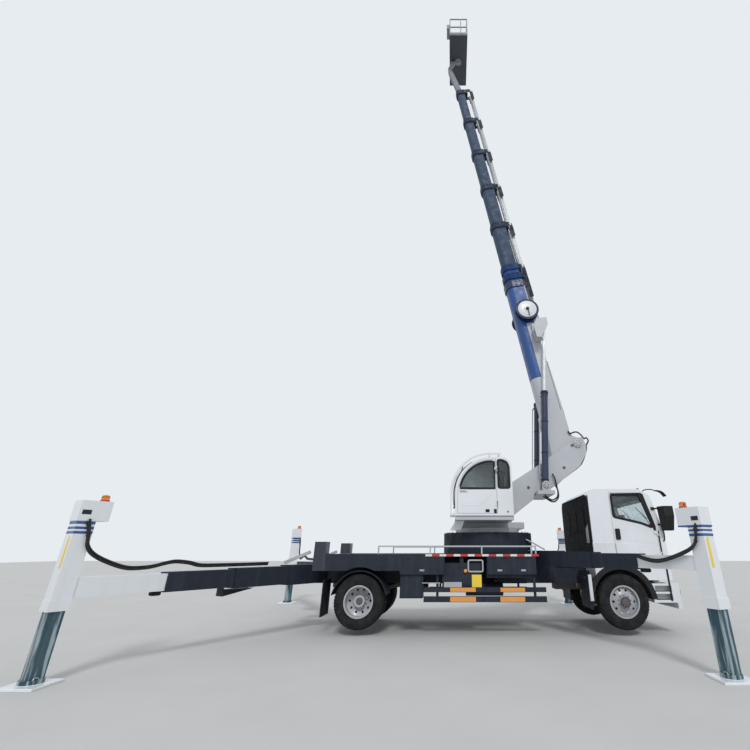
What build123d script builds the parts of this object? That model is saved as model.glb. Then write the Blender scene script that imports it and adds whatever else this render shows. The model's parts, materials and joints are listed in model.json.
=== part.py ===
from build123d import *
from math import cos, radians, sin, tan
import os

os.makedirs("parts", exist_ok=True)

# Truck-mounted cherry picker with an eight-part telescopic boom, standing on its outriggers.
# X points forward, Y to the driver's left, Z up. X is measured from the rear axle while modelling;
# save() then moves every piece so that the origin lies at ground level in the middle of the footprint.

# Wheels and axles
wheelbase = 5400
tyre_radius = 510
tyre_width = 290
tyre_bead_width = 250
rim_radius = 286
rim_wall = 12
rim_flange = 14
wheel_seat_gap = 0.3
wheel_lift = 100
hub_z = tyre_radius + wheel_lift
track_y = 1075
dual_spacing = 330
spindle_radius = 60
hub_radius = 150
hub_reach = 150
bearing_gap = 0.05
drum_radius = 205
kingpin_y = 880
kingpin_radius = 30
kingpin_boss = 60
axle_tube_radius = 75

# Chassis
rail_outer_y = 420
rail_height = 300
rail_flange = 85
rail_web = 12
rail_top = 1200
frame_rear = -1700
subframe_top = 1450
subframe_front = 3300
subframe_inner = 330
deck_rear = -750
deck_front = 3650
deck_plate = 50
deck_half_width = 1250
skirt_plate = 25
skirt_drop = 270
skirt_front = 820
fascia_drop = 340
# Where the fascia strips run along the deck's edges: from X to X
fascia_runs = [(820, 1742), (2632, 3650)]
rail_posts = [350, 1440, 2527, 3571, 3662]
rail_bar = 30
rail_rise = 165
arch_gap = 130
slew_x = 2750
pedestal_radius = 1040
pedestal_top = 1940

bearer_bottom = 1330
bearer_half = 40
engine_half_width = 320
locker_inner_y = 850
locker_outer_y = 1190
# Lockers on each side: from X, to X, bottom
lockers_right = [(830, 1300, 670), (1700, 2500, 880), (2620, 3560, 1050)]
lockers_left = [(830, 1300, 670), (2960, 3560, 880)]

# Truck cab
cab_rear = wheelbase - 500
cab_front = wheelbase + 1080
frame_front = cab_front - 130
cab_half_width = 1150
cab_wall = 60
cab_sill = 1000
cab_floor = 1300
cab_roof = 2840
front_arch_gap = 130
cab_edge_radius = 45
cab_waist = 2060
windscreen_half = 1000
windscreen_sill = 2090
windscreen_top = 2640
tilt_x = cab_front - 30
tilt_z = 960
door_gap = 6
bumper_depth = 140

# Turret and boom pivot
cheek_inner = 300
cheek_plate = 50
pivot_x = 5080
pivot_z = 4070
pivot_radius = 60
boom_angle = 80
base_pin_x = 4140
base_pin_z = 3000
lift_pin_radius = 45
lift_pin_s = 3400
lift_pin_v = 10
lift_y = 500
lift_eye_width = 160
lift_eye_radius = 95
lift_ear_gap = 20
lift_ear_plate = 40
beam_rise = 125
beam_depth = 65
barrel_radius = 85
barrel_bore = 66
barrel_length = 2430
rod_radius = 38
rod_length = 2500

# Boom: one root and seven telescopic sections, each 38 smaller than the one outside it
root_height = 540
root_width = 520
section_step = 38
section_wall = 8
boom_axis_v = 390
belly_radius = 190
back_radius = 60
least_radius = 12
root_head_s = 5150
head_step = 150
tail_s = 950
tail_step = 50
collar_length = 200
collar_rise = 35
pad_length = 90
pad_gap = 0.3
roller_half = 60
roller_reach = 100
reel_s = 4030
reel_v = 315
reel_radius = 330
# The foot with the pivot's bore, the spine on the back above it, and the brackets' ears, as (v, s)
foot_outline = [
    (-150, 0), (-130, 110), (50, 230), (102, 330), (75, 950), (660, 950), (668, 300), (700, -170), (600, -230),
    (130, -150),
]
spine_outline = [(126, 320), (72, 420), (74, 950), (98, 1950), (116, 2400), (126, 2400)]
ear_outline = [(-84, 3540), (197, 3590), (330, 3370), (330, 3010), (214, 2980), (-60, 3330)]
foot_plate = 16
foot_reach = 770
# How far each section's head stands past the head of the section outside it
section_reach = [300, 350, 1700, 1700, 1700, 1700, 1650]

# Basket
basket_length = 700
basket_width = 1900
basket_height = 1100
basket_floor = 60
tube = 34
jib_length = 1505
jib_v = 550
basket_pin_radius = 25
basket_offset = 0
basket_rise = 540

# Outriggers: three telescopic stages and a jack leg at each corner
stage_step = 40
stage_wall = 12
stage_width = 280
stage_lip = 30
stage_tail = 110
casing_tail = 100
casing_end_y = deck_half_width
leg_size = 225
leg_wall = 14
leg_gap = 8
leg_bottom = 830
collar_height = 135
cover_depth = 275
cover_reach = 150
jack_top = 1420
pad_size = 470
pad_plate = 30
# corner: side (+1 left), X where the beam axis meets the centre line, angle from X, mid height,
# height of the first stage, |Y| of the leg, top of the leg
outriggers = {
    "rear_right": (-1, -830, 120.2, 1105, 330, 4420, 2240),
    "rear_left": (1, -830, 120.2, 1105, 330, 4420, 2240),
    "front_right": (-1, 3530, 63.6, 1405, 280, 4150, 2175),
    "front_left": (1, 3530, 63.6, 1405, 280, 4150, 2175),
}

# Operator's cab beside the boom
op_front = 1965
op_rear = 3225
op_inner_y = -660
op_outer_y = -1400
op_floor = 2250
op_roof = 3510
op_wall = 45
op_nose_radius = 805
op_tail_radius = 220
op_pillar_x = 2880
op_guard_gap = 90
op_guard_half = 20
op_door_inset = 55
op_door_low = 2300
op_door_pane_inset = 100
op_door_pane_rear = op_pillar_x - 40
op_door_pane_low = 2823
op_pane_depth = 520
op_pane_low = 2480
op_rear_pane = [(2922, 2835), (2922, 3440), (3020, 3440), (3120, 3395), (3160, 3290), (3160, 2835)]

rear_leg = outriggers["rear_right"]
rear_turn = radians(rear_leg[2])
rear_leg_x = rear_leg[1] + rear_leg[5] / sin(rear_turn) * cos(rear_turn)
tail_x = rear_leg_x - pad_size / 2
nose_x = cab_front + bumper_depth
origin_shift = Pos(-round((tail_x + nose_x) / 2), 0, 0)


def save(name, *solids):
    """Write one node, moved so that the origin is in the middle of the footprint."""
    pieces = [solid for shape in solids for solid in shape.solids()]
    export_step(origin_shift * Compound(children=pieces), "parts/" + name + ".step")


def span(x0, x1, y0, y1, z0, z1):
    """A block between two corners."""
    return Pos((x0 + x1) / 2, (y0 + y1) / 2, (z0 + z1) / 2) * Box(x1 - x0, y1 - y0, z1 - z0)


def slab(outline, y0, y1):
    """A plate whose outline lies in the XZ plane, between two Y planes."""
    face = make_face(Polyline(*[(x, y0, z) for x, z in outline], close=True))
    return extrude(face, amount=y1 - y0, dir=(0, 1, 0))


def rod(start, end, radius):
    """A round bar between two points."""
    path = Vector(*end) - Vector(*start)
    plane = Plane(origin=start, z_dir=path)
    return extrude(plane * Circle(radius), amount=path.length)


def across(x, z, y0, y1, radius):
    """A round bar along Y."""
    return rod((x, y0, z), (x, y1, z), radius)


def both_sides(shape):
    """The shape and its mirror image in the centre plane."""
    return shape + mirror(shape, about=Plane.XZ)


def side(shape, sign):
    """A shape drawn on the left side, put on the side that sign gives."""
    return shape if sign > 0 else mirror(shape, about=Plane.XZ)


# Wheels


def tyre(y):
    half, bead = tyre_width / 2, tyre_bead_width / 2
    bore = rim_radius + wheel_seat_gap
    profile = [
        (bore, -bead), (rim_radius + rim_flange + 8, -bead), (350, -half + 4), (420, -half),
        (485, -half + 14), (tyre_radius, -half + 45), (tyre_radius, half - 45), (485, half - 14),
        (420, half), (350, half - 4), (rim_radius + rim_flange + 8, bead), (bore, bead),
    ]
    face = make_face(Polyline(*[(r, 0, a) for r, a in profile], close=True))
    return Pos(0, y, 0) * Rot(90, 0, 0) * revolve(face, Axis.Z)


def wheel_disc(y, disc, dish):
    """A rim: barrel with two flanges, a disc with ten hand holes, and the wheel centre."""
    edge = tyre_bead_width / 2 + wheel_seat_gap
    inner = rim_radius - rim_wall
    profile = [
        (inner, -edge - 10), (rim_radius + rim_flange, -edge - 10), (rim_radius + rim_flange, -edge),
        (rim_radius, -edge), (rim_radius, edge), (rim_radius + rim_flange, edge),
        (rim_radius + rim_flange, edge + 10), (inner, edge + 10),
        (inner, disc + 14), (hub_radius, disc + dish + 14), (hub_radius, disc + dish - 2),
        (inner, disc - 2),
    ]
    face = make_face(Polyline(*[(r, 0, a) for r, a in profile], close=True))
    barrel = revolve(face, Axis.Z)
    holes = [Pos(0, 0, disc) * place * Cylinder(24, 200) for place in PolarLocations(212, 10)]
    centre = Pos(0, 0, disc + dish) * Cylinder(hub_radius, 32)
    return Pos(0, y, 0) * Rot(90, 0, 0) * (barrel - holes + centre)


def spindle_hole(y0, y1):
    return across(0, 0, y0, y1, spindle_radius + bearing_gap)


def front_wheel(sign):
    place = Pos(wheelbase, 0, hub_z)
    disc_y = -track_y
    rim = wheel_disc(disc_y, 40, 55)
    cap = across(0, 0, disc_y - 95 - hub_reach / 2, disc_y - 95, 92)
    boss = across(0, 0, disc_y - 100, disc_y - 20, 100)
    rim = rim + cap + boss - spindle_hole(disc_y - 95 - 30, disc_y + 200)
    save("front_tyre_" + side_name[sign], place * side(tyre(disc_y), -sign))
    save("front_rim_" + side_name[sign], place * side(rim, -sign))


def rear_wheel(sign):
    place = Pos(0, 0, hub_z)
    outer_y, inner_y = -track_y, -track_y + dual_spacing
    rim = wheel_disc(outer_y, -60, -60) + mirror(wheel_disc(-inner_y, -60, -60), about=Plane.XZ)
    middle = across(0, 0, outer_y + 100, inner_y - 100, hub_radius)
    hub = across(0, 0, outer_y - 20, outer_y + 130, 110)
    rim = rim + middle + hub - spindle_hole(outer_y + 10, inner_y + 300)
    save("rear_tyres_" + side_name[sign], place * side(tyre(outer_y) + tyre(inner_y), -sign))
    save("rear_rims_" + side_name[sign], place * side(rim, -sign))


side_name = {-1: "right", 1: "left"}


def knuckle(sign):
    """The fork round the front axle's end, with the spindle and the brake drum."""
    lug_low = across_fork(hub_z - 135, hub_z - 85)
    lug_high = across_fork(hub_z + 85, hub_z + 135)
    back = span(-55, 55, kingpin_y + 70, kingpin_y + 105, hub_z - 135, hub_z + 135)
    drum = across(0, hub_z, kingpin_y + 105, kingpin_y + 165, drum_radius)
    spindle = across(0, hub_z, kingpin_y + 100, track_y + 115, spindle_radius)
    body = lug_low + lug_high + back + drum + spindle
    pin_hole = Pos(0, kingpin_y, hub_z) * Cylinder(kingpin_radius + bearing_gap, 400)
    save("steering_knuckle_" + side_name[sign], Pos(wheelbase, 0, 0) * side(body - pin_hole, sign))


def across_fork(z0, z1):
    arm = span(-55, 55, kingpin_y, kingpin_y + 105, z0, z1)
    return arm + Pos(0, kingpin_y, (z0 + z1) / 2) * Cylinder(55, z1 - z0)


def leaf_spring(x):
    """A bow of leaves under the rail, from its front bracket to its rear bracket."""
    rail_bottom = rail_top - rail_height
    low, high = rail_bottom - 60, rail_bottom - 30
    bow = make_face(
        ThreePointArc((x - 700, 340, low), (x, 340, hub_z + 90), (x + 700, 340, low))
        + Line((x + 700, 340, low), (x + 700, 340, high))
        + ThreePointArc((x + 700, 340, high), (x, 340, hub_z + 160), (x - 700, 340, high))
        + Line((x - 700, 340, high), (x - 700, 340, low))
    )
    leaves = extrude(bow, amount=75, dir=(0, 1, 0))
    brackets = [span(x + e - 45, x + e + 45, 335, 420, rail_bottom - 80, rail_bottom) for e in (-700, 700)]
    return leaves + brackets


def axles():
    rear_tube = across(0, hub_z, -kingpin_y, kingpin_y, axle_tube_radius)
    rear_spindle = across(0, hub_z, -track_y + 20, track_y - 20, spindle_radius)
    differential = Pos(0, 0, hub_z) * Sphere(190)
    rear_saddles = both_sides(span(-70, 70, 340, 415, hub_z + 40, hub_z + 110))
    rear_drums = both_sides(across(0, hub_z, 460, 560, drum_radius))
    rear = rear_tube.cut(both_sides(across(0, hub_z, 560, kingpin_y, axle_tube_radius + 1)))
    rear = rear + rear_spindle + differential + rear_drums + rear_saddles + both_sides(leaf_spring(0))
    beam = span(wheelbase - 50, wheelbase + 50, -kingpin_y, kingpin_y, hub_z - 60, hub_z + 40)
    eyes = both_sides(Pos(wheelbase, kingpin_y, hub_z) * Cylinder(kingpin_boss, 160))
    pins = both_sides(Pos(wheelbase, kingpin_y, hub_z) * Cylinder(kingpin_radius, 290))
    saddles = both_sides(span(wheelbase - 60, wheelbase + 60, 340, 415, hub_z + 20, hub_z + 110))
    front = beam + eyes + pins + saddles + both_sides(leaf_spring(wheelbase))
    save("axles", rear, front)


# Chassis


def beam_place(corner):
    """Frame of one outrigger: local X runs outward along the beam, Z up."""
    sign, cross_x, angle, mid_z = outriggers[corner][:4]
    return Pos(cross_x, 0, mid_z) * Rot(0, 0, sign * angle)


def beam_sizes(corner):
    """Distances along the beam: casing end, leg centre, and the stroke of each stage."""
    angle, leg_y = outriggers[corner][2], outriggers[corner][5]
    casing_end = casing_end_y / sin(radians(angle))
    leg_at = leg_y / sin(radians(angle))
    stowed_leg = casing_end + 3 * stage_lip + leg_size / 2
    return casing_end, leg_at, (leg_at - stowed_leg) / 3


def hollow_beam(t0, t1, width, height, bore_from):
    """A square tube along local X, open from bore_from to its outer end."""
    outer = span(t0, t1, -width / 2, width / 2, -height / 2, height / 2)
    w, h = width / 2 - stage_wall, height / 2 - stage_wall
    return outer - span(bore_from, t1 + 1, -w, w, -h, h)


def slide_pads(t, width, height):
    """Four slide pads in a beam's mouth, that the next stage runs on."""
    w, h = width / 2 - stage_wall, height / 2 - stage_wall
    run = stage_step / 2 - stage_wall - pad_gap
    flat = [span(t - 80, t, -w + 40, w - 40, z, z + run) for z in (-h, h - run)]
    upright = [span(t - 80, t, y, y + run, -h + 40, h - 40) for y in (-w, w - run)]
    return flat + upright


def casing(corner):
    end = beam_sizes(corner)[0]
    width, tall = stage_width + stage_step, outriggers[corner][4] + stage_step
    tube_part = hollow_beam(casing_tail, end, width, tall, casing_tail + stage_wall)
    return beam_place(corner) * (tube_part + slide_pads(end, width, tall))


def casing_block(corner, gap):
    """The space that a casing takes, grown by a gap."""
    end = beam_sizes(corner)[0]
    width, tall = stage_width + stage_step, outriggers[corner][4] + stage_step
    y, z = width / 2 + gap, tall / 2 + gap
    return beam_place(corner) * span(casing_tail - gap, end + gap, -y, y, -z, z)


bearers = [-500, 500, 1060, 1600, 2100, 3000, 3560]


def chassis_frame():
    bottom = rail_top - rail_height
    web = span(frame_rear, frame_front, rail_outer_y - rail_web, rail_outer_y, bottom, rail_top)
    flange = span(frame_rear, frame_front, rail_outer_y - rail_flange, rail_outer_y, 0, rail_web)
    rails = web + Pos(0, 0, bottom) * flange + Pos(0, 0, rail_top - rail_web) * flange
    rails = both_sides(rails)
    for x in (frame_rear + 60, 900, 2100, subframe_front, cab_rear - 750, frame_front - 100):
        rails += span(x - 45, x + 45, -rail_outer_y, rail_outer_y, bottom + 40, rail_top - 40)
    subframe = span(deck_rear + 100, subframe_front, subframe_inner, rail_outer_y, rail_top, subframe_top)
    subframe = both_sides(subframe)
    for x in bearers:
        edge = locker_outer_y
        subframe += span(x - bearer_half, x + bearer_half, -edge, edge, bearer_bottom, subframe_top)
    frame = rails + subframe
    seat = span(deck_front - 200, deck_front + 650, subframe_inner, rail_outer_y, rail_top, rail_top + 60)
    frame += both_sides(seat)
    for corner in outriggers:
        frame = frame - casing_block(corner, 0)
    save("chassis_frame", frame)
    save("outrigger_casings", *[casing(corner) for corner in outriggers])


def deck():
    edge = deck_half_width
    top = subframe_top + deck_plate
    floor = span(deck_rear, deck_front, -edge, edge, subframe_top, top)
    skirt = span(deck_rear, skirt_front, edge - skirt_plate, edge, subframe_top - skirt_drop, subframe_top)
    arch = across(0, hub_z, 0, 2 * edge, tyre_radius + arch_gap)
    edges = skirt - arch
    for x0, x1 in fascia_runs:
        edges += span(x0, x1, edge - skirt_plate, edge, subframe_top - fascia_drop, subframe_top)
    drum = Pos(slew_x, 0, (top + pedestal_top) / 2) * Cylinder(pedestal_radius, pedestal_top - top)
    drum -= Pos(slew_x, 0, (top + pedestal_top) / 2 - 60) * Cylinder(pedestal_radius - 60, pedestal_top - top)
    floor -= Pos(slew_x, 0, top) * Cylinder(600, 200)
    body = floor + drum + both_sides(edges)
    for corner in ("front_right", "front_left"):
        body -= casing_block(corner, 10)
    save("deck", body)


def deck_rails():
    """Low rails along the deck's edges, and the upright boxes at its rear end."""
    top = subframe_top + deck_plate
    outer = deck_half_width - 15
    inner = outer - rail_bar
    high, half = top + rail_rise, rail_bar / 2
    rail = span(rail_posts[0] - half, rail_posts[-1] + half, inner, outer, high - rail_bar, high)
    for x in rail_posts:
        rail += span(x - half, x + half, inner, outer, top, high - rail_bar)
    box = span(deck_rear - 250, deck_rear, deck_half_width - 260, deck_half_width, 1180, 1740)
    save("deck_rails", *[side(shape, sign) for shape in (rail, box) for sign in side_name])


def engine_block():
    """Engine and gearbox between the rails, on feet that stand on the lower flanges."""
    low = rail_top - rail_height + rail_web
    rear, front = cab_rear + 80, cab_front - 380
    block = span(rear, front, -engine_half_width, engine_half_width, 690, 1190)
    gearbox = span(rear - 730, rear, -200, 200, 760, 1120)
    feet = span(rear + 120, rear + 260, engine_half_width, rail_outer_y - rail_web - 5, low, low + 60)
    feet += Pos(700, 0, 0) * feet
    save("engine_block", block + gearbox + both_sides(feet))


def locker(x0, x1, z0, z1):
    """A tool locker hung under the deck's bearers, with a raised door."""
    body = span(x0, x1, locker_inner_y, locker_outer_y, z0, z1)
    door = span(x0 + 25, x1 - 25, locker_outer_y, locker_outer_y + 12, z0 + 25, z1 - 25)
    handle = span((x0 + x1) / 2 - 60, (x0 + x1) / 2 + 60, locker_outer_y, locker_outer_y + 25, z1 - 90, z1 - 65)
    return body + door + handle


def side_lockers():
    right = [locker(*sizes, bearer_bottom) for sizes in lockers_right]
    left = [locker(*sizes, bearer_bottom) for sizes in lockers_left]
    save("side_lockers", *[side(box, -1) for box in right], *left)


def tanks():
    """Fuel tank on the left rail and two air tanks on the right rail."""
    fuel = span(1680, 2860, 560, 1180, 700, 1250)
    fuel = fillet(fuel.edges().filter_by(Axis.X), 90)
    for x in (1950, 2550):
        fuel += span(x - 40, x + 40, rail_outer_y, 600, 950, 1150)
    air = rod((2200, 640, 800), (3000, 640, 800), 130)
    for x in (2350, 2850):
        air += span(x - 30, x + 30, rail_outer_y, 640, 905, 985)
        air += span(x - 30, x + 30, 600, 680, 900, 985)
    save("tanks", fuel, side(air, -1))


def side_guards():
    """Under-run guards, rear mudguards with flaps, and the plates behind the front wheels."""
    inner, outer = locker_outer_y, locker_outer_y + 35
    bars = span(1322, 3825, inner, outer, 605, 710) + span(1322, 3825, inner, outer, 785, 875)
    for x in (1600, 3600):
        bars += span(x - 25, x + 25, inner - 40, inner, 610, bearer_bottom)
    ring = across(0, hub_z, 600, 1240, tyre_radius + 65) - across(0, hub_z, 590, 1250, tyre_radius + 50)
    arc = ring - span(-900, 900, 500, 1300, 0, hub_z + 120)
    arc += span(-30, 30, rail_outer_y, 640, 1150, 1180)
    flap = span(-760, -745, 600, 1200, 330, 1000)
    flap += span(-745, -640, 620, 660, 930, 960) + span(-760, -745, 600, 1200, 930, 1000)
    flap += span(-640, -600, rail_outer_y, 660, 930, 960)
    plate = span(cab_rear - 160, cab_rear - 135, 480, 1200, 470, 1180)
    plate += span(cab_rear - 200, cab_rear - 160, rail_outer_y, 1000, 1000, 1060)
    save("side_guards", *[shape for part in (bars, arc, flap, plate) for shape in (part, side(part, -1))])


# Truck cab


def cab_outline():
    """Side view of the cab's skin."""
    points = [
        (cab_rear, cab_sill), (cab_rear, cab_roof - 140), (cab_rear + 150, cab_roof),
        (cab_front - 400, cab_roof), (cab_front - 180, cab_roof - 140), (cab_front - 40, cab_waist),
        (cab_front, cab_waist - 160), (cab_front, cab_sill),
    ]
    return make_face(Polyline(*[(x, 0, z) for x, z in points], close=True))


def cab_slice(inset, half_width):
    """The cab's outline drawn in by an inset, as a solid of the given half width."""
    face = offset(cab_outline(), amount=-inset, kind=Kind.INTERSECTION) if inset else cab_outline()
    return Pos(0, -half_width, 0) * extrude(face, amount=2 * half_width, dir=(0, 1, 0))


door_rear = cab_rear + 485
door_front = cab_front - 160
door_sill = cab_floor + 30
door_top = cab_roof - 80
door_outline = [
    (door_rear, door_sill), (door_rear, door_top), (door_front - 170, door_top), (door_front, cab_waist),
    (door_front, door_sill),
]
door_window = [
    (door_rear + 50, cab_waist + 190), (door_rear + 50, door_top - 50), (door_front - 245, door_top - 50),
    (door_front - 65, cab_waist + 50), (door_front - 80, cab_waist - 30), (door_front - 303, cab_waist + 60),
]
hinge_x = door_front + 6
hinge_y = cab_half_width + 16
hinge_heights = (1480, 1930)


def prism(points, y0, y1, inset=0):
    face = make_face(Polyline(*[(x, y0, z) for x, z in points], close=True))
    if inset:
        face = offset(face, amount=-inset, kind=Kind.INTERSECTION)
    return extrude(face, amount=y1 - y0, dir=(0, 1, 0))


def windscreen_block(gap):
    """The space that the windscreen's opening takes out of the cab's front, drawn in by a gap."""
    y = windscreen_half - gap
    return span(cab_front - 330, cab_front + 220, -y, y, windscreen_sill + gap, windscreen_top - gap)


def cab_shell():
    inner = cab_half_width - cab_wall
    skin = cab_slice(0, cab_half_width)
    for face in (skin.faces().sort_by(Axis.Y)[0], skin.faces().sort_by(Axis.Y)[-1]):
        rim = face.edges().filter_by_position(Axis.Z, cab_sill + 10, cab_roof + 10)
        skin = fillet(rim, cab_edge_radius)
    room = cab_slice(cab_wall, inner) & span(cab_rear, cab_front, -inner, inner, cab_floor, cab_roof)
    under = span(cab_rear + cab_wall, cab_front - cab_wall, -inner, inner, cab_sill - 10, cab_floor - cab_wall)
    over_rails = span(cab_rear - 10, cab_rear + cab_wall + 10, -480, 480, cab_sill - 10, cab_floor - cab_wall)
    shell = skin - room - under - over_rails
    shell -= windscreen_block(0)
    arch = across(wheelbase, hub_z, 560, cab_half_width + 10, tyre_radius + front_arch_gap)
    shell -= both_sides(arch)
    shell -= both_sides(prism(door_outline, inner - 10, cab_half_width + 10))
    for z in hinge_heights:
        fixed = Pos(hinge_x, hinge_y, z) * Cylinder(6, 126)
        for e in (-48, 48):
            fixed += span(hinge_x - 6, hinge_x + 30, cab_half_width - 5, hinge_y, z + e - 15, z + e + 15)
            fixed += Pos(hinge_x, hinge_y, z + e) * Cylinder(12, 30)
        shell += both_sides(fixed)
    eye = across(tilt_x, tilt_z, 445, 485, 34) + span(tilt_x - 25, tilt_x + 25, 445, 485, tilt_z, cab_sill + 20)
    eye -= across(tilt_x, tilt_z, 400, 500, 18 + bearing_gap)
    shell += both_sides(eye)
    save("cab_shell", shell)


def cab_glass():
    pane = (cab_slice(20, windscreen_half) - cab_slice(28, windscreen_half)) & windscreen_block(pad_gap)
    save("cab_glass", pane)


def cab_door(sign):
    door = prism(door_outline, cab_half_width - cab_wall, cab_half_width, door_gap)
    door -= prism(door_window, 0, 2 * cab_half_width)
    door += span(door_rear + 55, door_rear + 115, cab_half_width, cab_half_width + 22, 1800, 1990)
    for z in hinge_heights:
        knuckle_part = Pos(hinge_x, hinge_y, z) * Cylinder(12, 65)
        leaf = span(hinge_x - 70, hinge_x, hinge_y - 4, hinge_y + 6, z - 32.5, z + 32.5)
        leaf += span(hinge_x - 70, hinge_x - 20, cab_half_width - 5, hinge_y + 6, z - 32.5, z + 32.5)
        door += knuckle_part + leaf
        door -= Pos(hinge_x, hinge_y, z) * Cylinder(6 + bearing_gap, 70)
    save("cab_door_" + side_name[sign], side(door, sign))


def cab_interior():
    """Two seats, the dashboard and the steering wheel."""
    pieces = []
    seat_rear = cab_rear + 350
    seat_y = cab_half_width - 630
    for y in (-seat_y, seat_y):
        base = span(seat_rear, seat_rear + 510, y - 230, y + 230, cab_floor, cab_floor + 420)
        back = Pos(seat_rear - 20, y, cab_floor + 400) * Rot(0, -12, 0) * Pos(0, 0, 330) * Box(130, 440, 680)
        pieces.append(base + back)
    front = cab_front - cab_wall
    dash = span(front - 330, front, 90 - cab_half_width, cab_half_width - 90, 1560, 1860)
    hub = (front - 430, seat_y, 1960)
    column = rod((front - 300, seat_y, 1820), hub, 28)
    plane = Plane(origin=hub, z_dir=(-0.68, 0, 0.73))
    wheel = plane * (Cylinder(225, 26) - Cylinder(195, 30))
    spokes = plane * (Box(20, 410, 16) + Box(410, 20, 16))
    save("cab_interior", *pieces, dash + column + wheel + spokes)


def cab_mirrors():
    """Mirror heads on bent arms from the front pillars."""
    head_x, head_y = cab_front + 20, cab_half_width + 140
    rear, front = cab_front - 80, cab_front + 135
    corners = [(20, 2460), (320, 2450), (320, 2250), (200, 1960), (70, 1960)]
    outline = Polyline(*[(rear, cab_half_width + y, z) for y, z in corners], close=True)
    head = extrude(make_face(outline), amount=front - rear, dir=(1, 0, 0))
    head = fillet(head.edges(), 15)
    arms = rod((cab_front - 170, cab_half_width - 30, 2420), (head_x, head_y, 2420), 16)
    arms += rod((cab_front - 120, cab_half_width - 30, 2090), (head_x, head_y, 2090), 16)
    foot = span(cab_front - 205, cab_front - 135, cab_half_width, cab_half_width + 20, 2390, 2450)
    arms -= span(cab_rear, cab_front + 220, 0, cab_half_width, 1900, 2700)
    save("cab_mirrors", *[side(head + arms + foot, sign) for sign in side_name])


def front_bumper():
    """Bumper with head lamp blocks, the boarding steps at its ends, and the cab's tilt hinges."""
    bar = span(cab_front + 20, cab_front + bumper_depth, -cab_half_width, cab_half_width, 480, 930)
    bar = fillet(bar.edges().filter_by(Axis.Z).group_by(Axis.X)[-1], 90)
    lamps = both_sides(span(cab_front + bumper_depth - 40, cab_front + bumper_depth - 2, 700, 960, 700, 860))
    bar += both_sides(span(frame_front, cab_front + 30, 335, rail_outer_y, 905, 925))
    steps = span(cab_front - 450, cab_front + 30, cab_half_width - 150, cab_half_width, 590, 940)
    for z in (640, 790):
        steps -= span(cab_front - 400, cab_front - 60, cab_half_width - 110, cab_half_width + 10, z, z + 110)
    hinge = span(frame_front, tilt_x - 36, 400, 530, 912, 985)
    for y in (400, 490):
        hinge += across(tilt_x, tilt_z, y, y + 40, 34)
        hinge += span(tilt_x - 60, tilt_x, y, y + 40, tilt_z - 34, tilt_z + 20)
    hinge += across(tilt_x, tilt_z, 400, 530, 18)
    hinge += span(frame_front, tilt_x + 90, 400, 530, 890, 915)
    save("front_bumper", bar + lamps + both_sides(steps) + both_sides(hinge))


# Turret with the operator's cab

cheek_outline = [
    (2150, 2150), (2250, 2420), (3355, 3099), (4115, 3562), (4300, 3700), (5036, 4210), (5218, 4235),
    (5294, 4030), (5281, 3825), (5079, 3500), (4412, 3016), (4312, 2992), (4195, 2850), (3911, 2850),
    (3850, 2687), (3348, 2321), (3300, 2150),
]


def turret():
    ring = Pos(slew_x, 0, (pedestal_top + pad_gap + 2040) / 2) * Cylinder(760, 2040 - pedestal_top - pad_gap)
    base = span(1960, 3600, -cheek_inner - cheek_plate, cheek_inner + cheek_plate, 2040, 2180)
    platform = span(op_front, op_rear, op_outer_y, -cheek_inner, op_floor - 80, op_floor)
    cheeks = both_sides(slab(cheek_outline, cheek_inner, cheek_inner + cheek_plate))
    web = slab(cheek_outline, -cheek_inner, cheek_inner)
    web -= Pos(-30, 0, 45) * slab(cheek_outline, -cheek_inner - 1, cheek_inner + 1)
    web -= span(2000, 3350, -cheek_inner - 1, cheek_inner + 1, 2160, 3200)
    web -= across(pivot_x, pivot_z, -cheek_inner - 1, cheek_inner + 1, foot_reach)
    pin_end = cheek_inner + cheek_plate + 25
    pin = across(pivot_x, pivot_z, -pin_end, pin_end, pivot_radius)
    ear_in, ear_out = lift_y - lift_eye_width / 2 - lift_ear_gap, lift_y + lift_eye_width / 2 + lift_ear_gap
    seat = span(3920, 4330, -ear_out - lift_ear_plate, ear_out + lift_ear_plate, 2795, 2880)
    ears = span(base_pin_x - 100, base_pin_x + 100, cheek_inner, ear_in, 2800, base_pin_z)
    ears += across(base_pin_x, base_pin_z, cheek_inner, ear_in, 100)
    ears += span(base_pin_x - 100, base_pin_x + 100, ear_out, ear_out + lift_ear_plate, 2800, base_pin_z)
    ears += across(base_pin_x, base_pin_z, ear_out, ear_out + lift_ear_plate, 100)
    ears += across(base_pin_x, base_pin_z, ear_in, ear_out + lift_ear_plate + 15, lift_pin_radius)
    body = ring + base + platform + cheeks + web + pin + seat + both_sides(ears)
    save("turret", body)


def nose_outline(inset, x_rear, z_low, tail=0):
    """Side view with a round upper front corner, drawn in from the operator's cab by an inset."""
    x0, z1, r = op_front + inset, op_roof - inset, op_nose_radius - inset
    cx, cz = op_front + op_nose_radius, op_roof - op_nose_radius
    k = r * cos(radians(45))
    m = tail * (1 - cos(radians(45)))
    outline = Line((x0, 0, z_low), (x0, 0, cz)) + ThreePointArc((x0, 0, cz), (cx - k, 0, cz + k), (cx, 0, z1))
    outline += Line((cx, 0, z1), (x_rear - tail, 0, z1))
    if tail:
        outline += ThreePointArc((x_rear - tail, 0, z1), (x_rear - m, 0, z1 - m), (x_rear, 0, z1 - tail))
    outline += Line((x_rear, 0, z1 - tail), (x_rear, 0, z_low))
    return make_face(outline + Line((x_rear, 0, z_low), (x0, 0, z_low)))


def nose_solid(inset, x_rear, z_low, y0, y1, tail=0):
    return Pos(0, y0, 0) * extrude(nose_outline(inset, x_rear, z_low, tail), amount=y1 - y0, dir=(0, 1, 0))


op_hinge_x = op_pillar_x + 8
op_hinge_y = op_outer_y - 14
op_hinge_heights = (2480, 3250)


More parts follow.
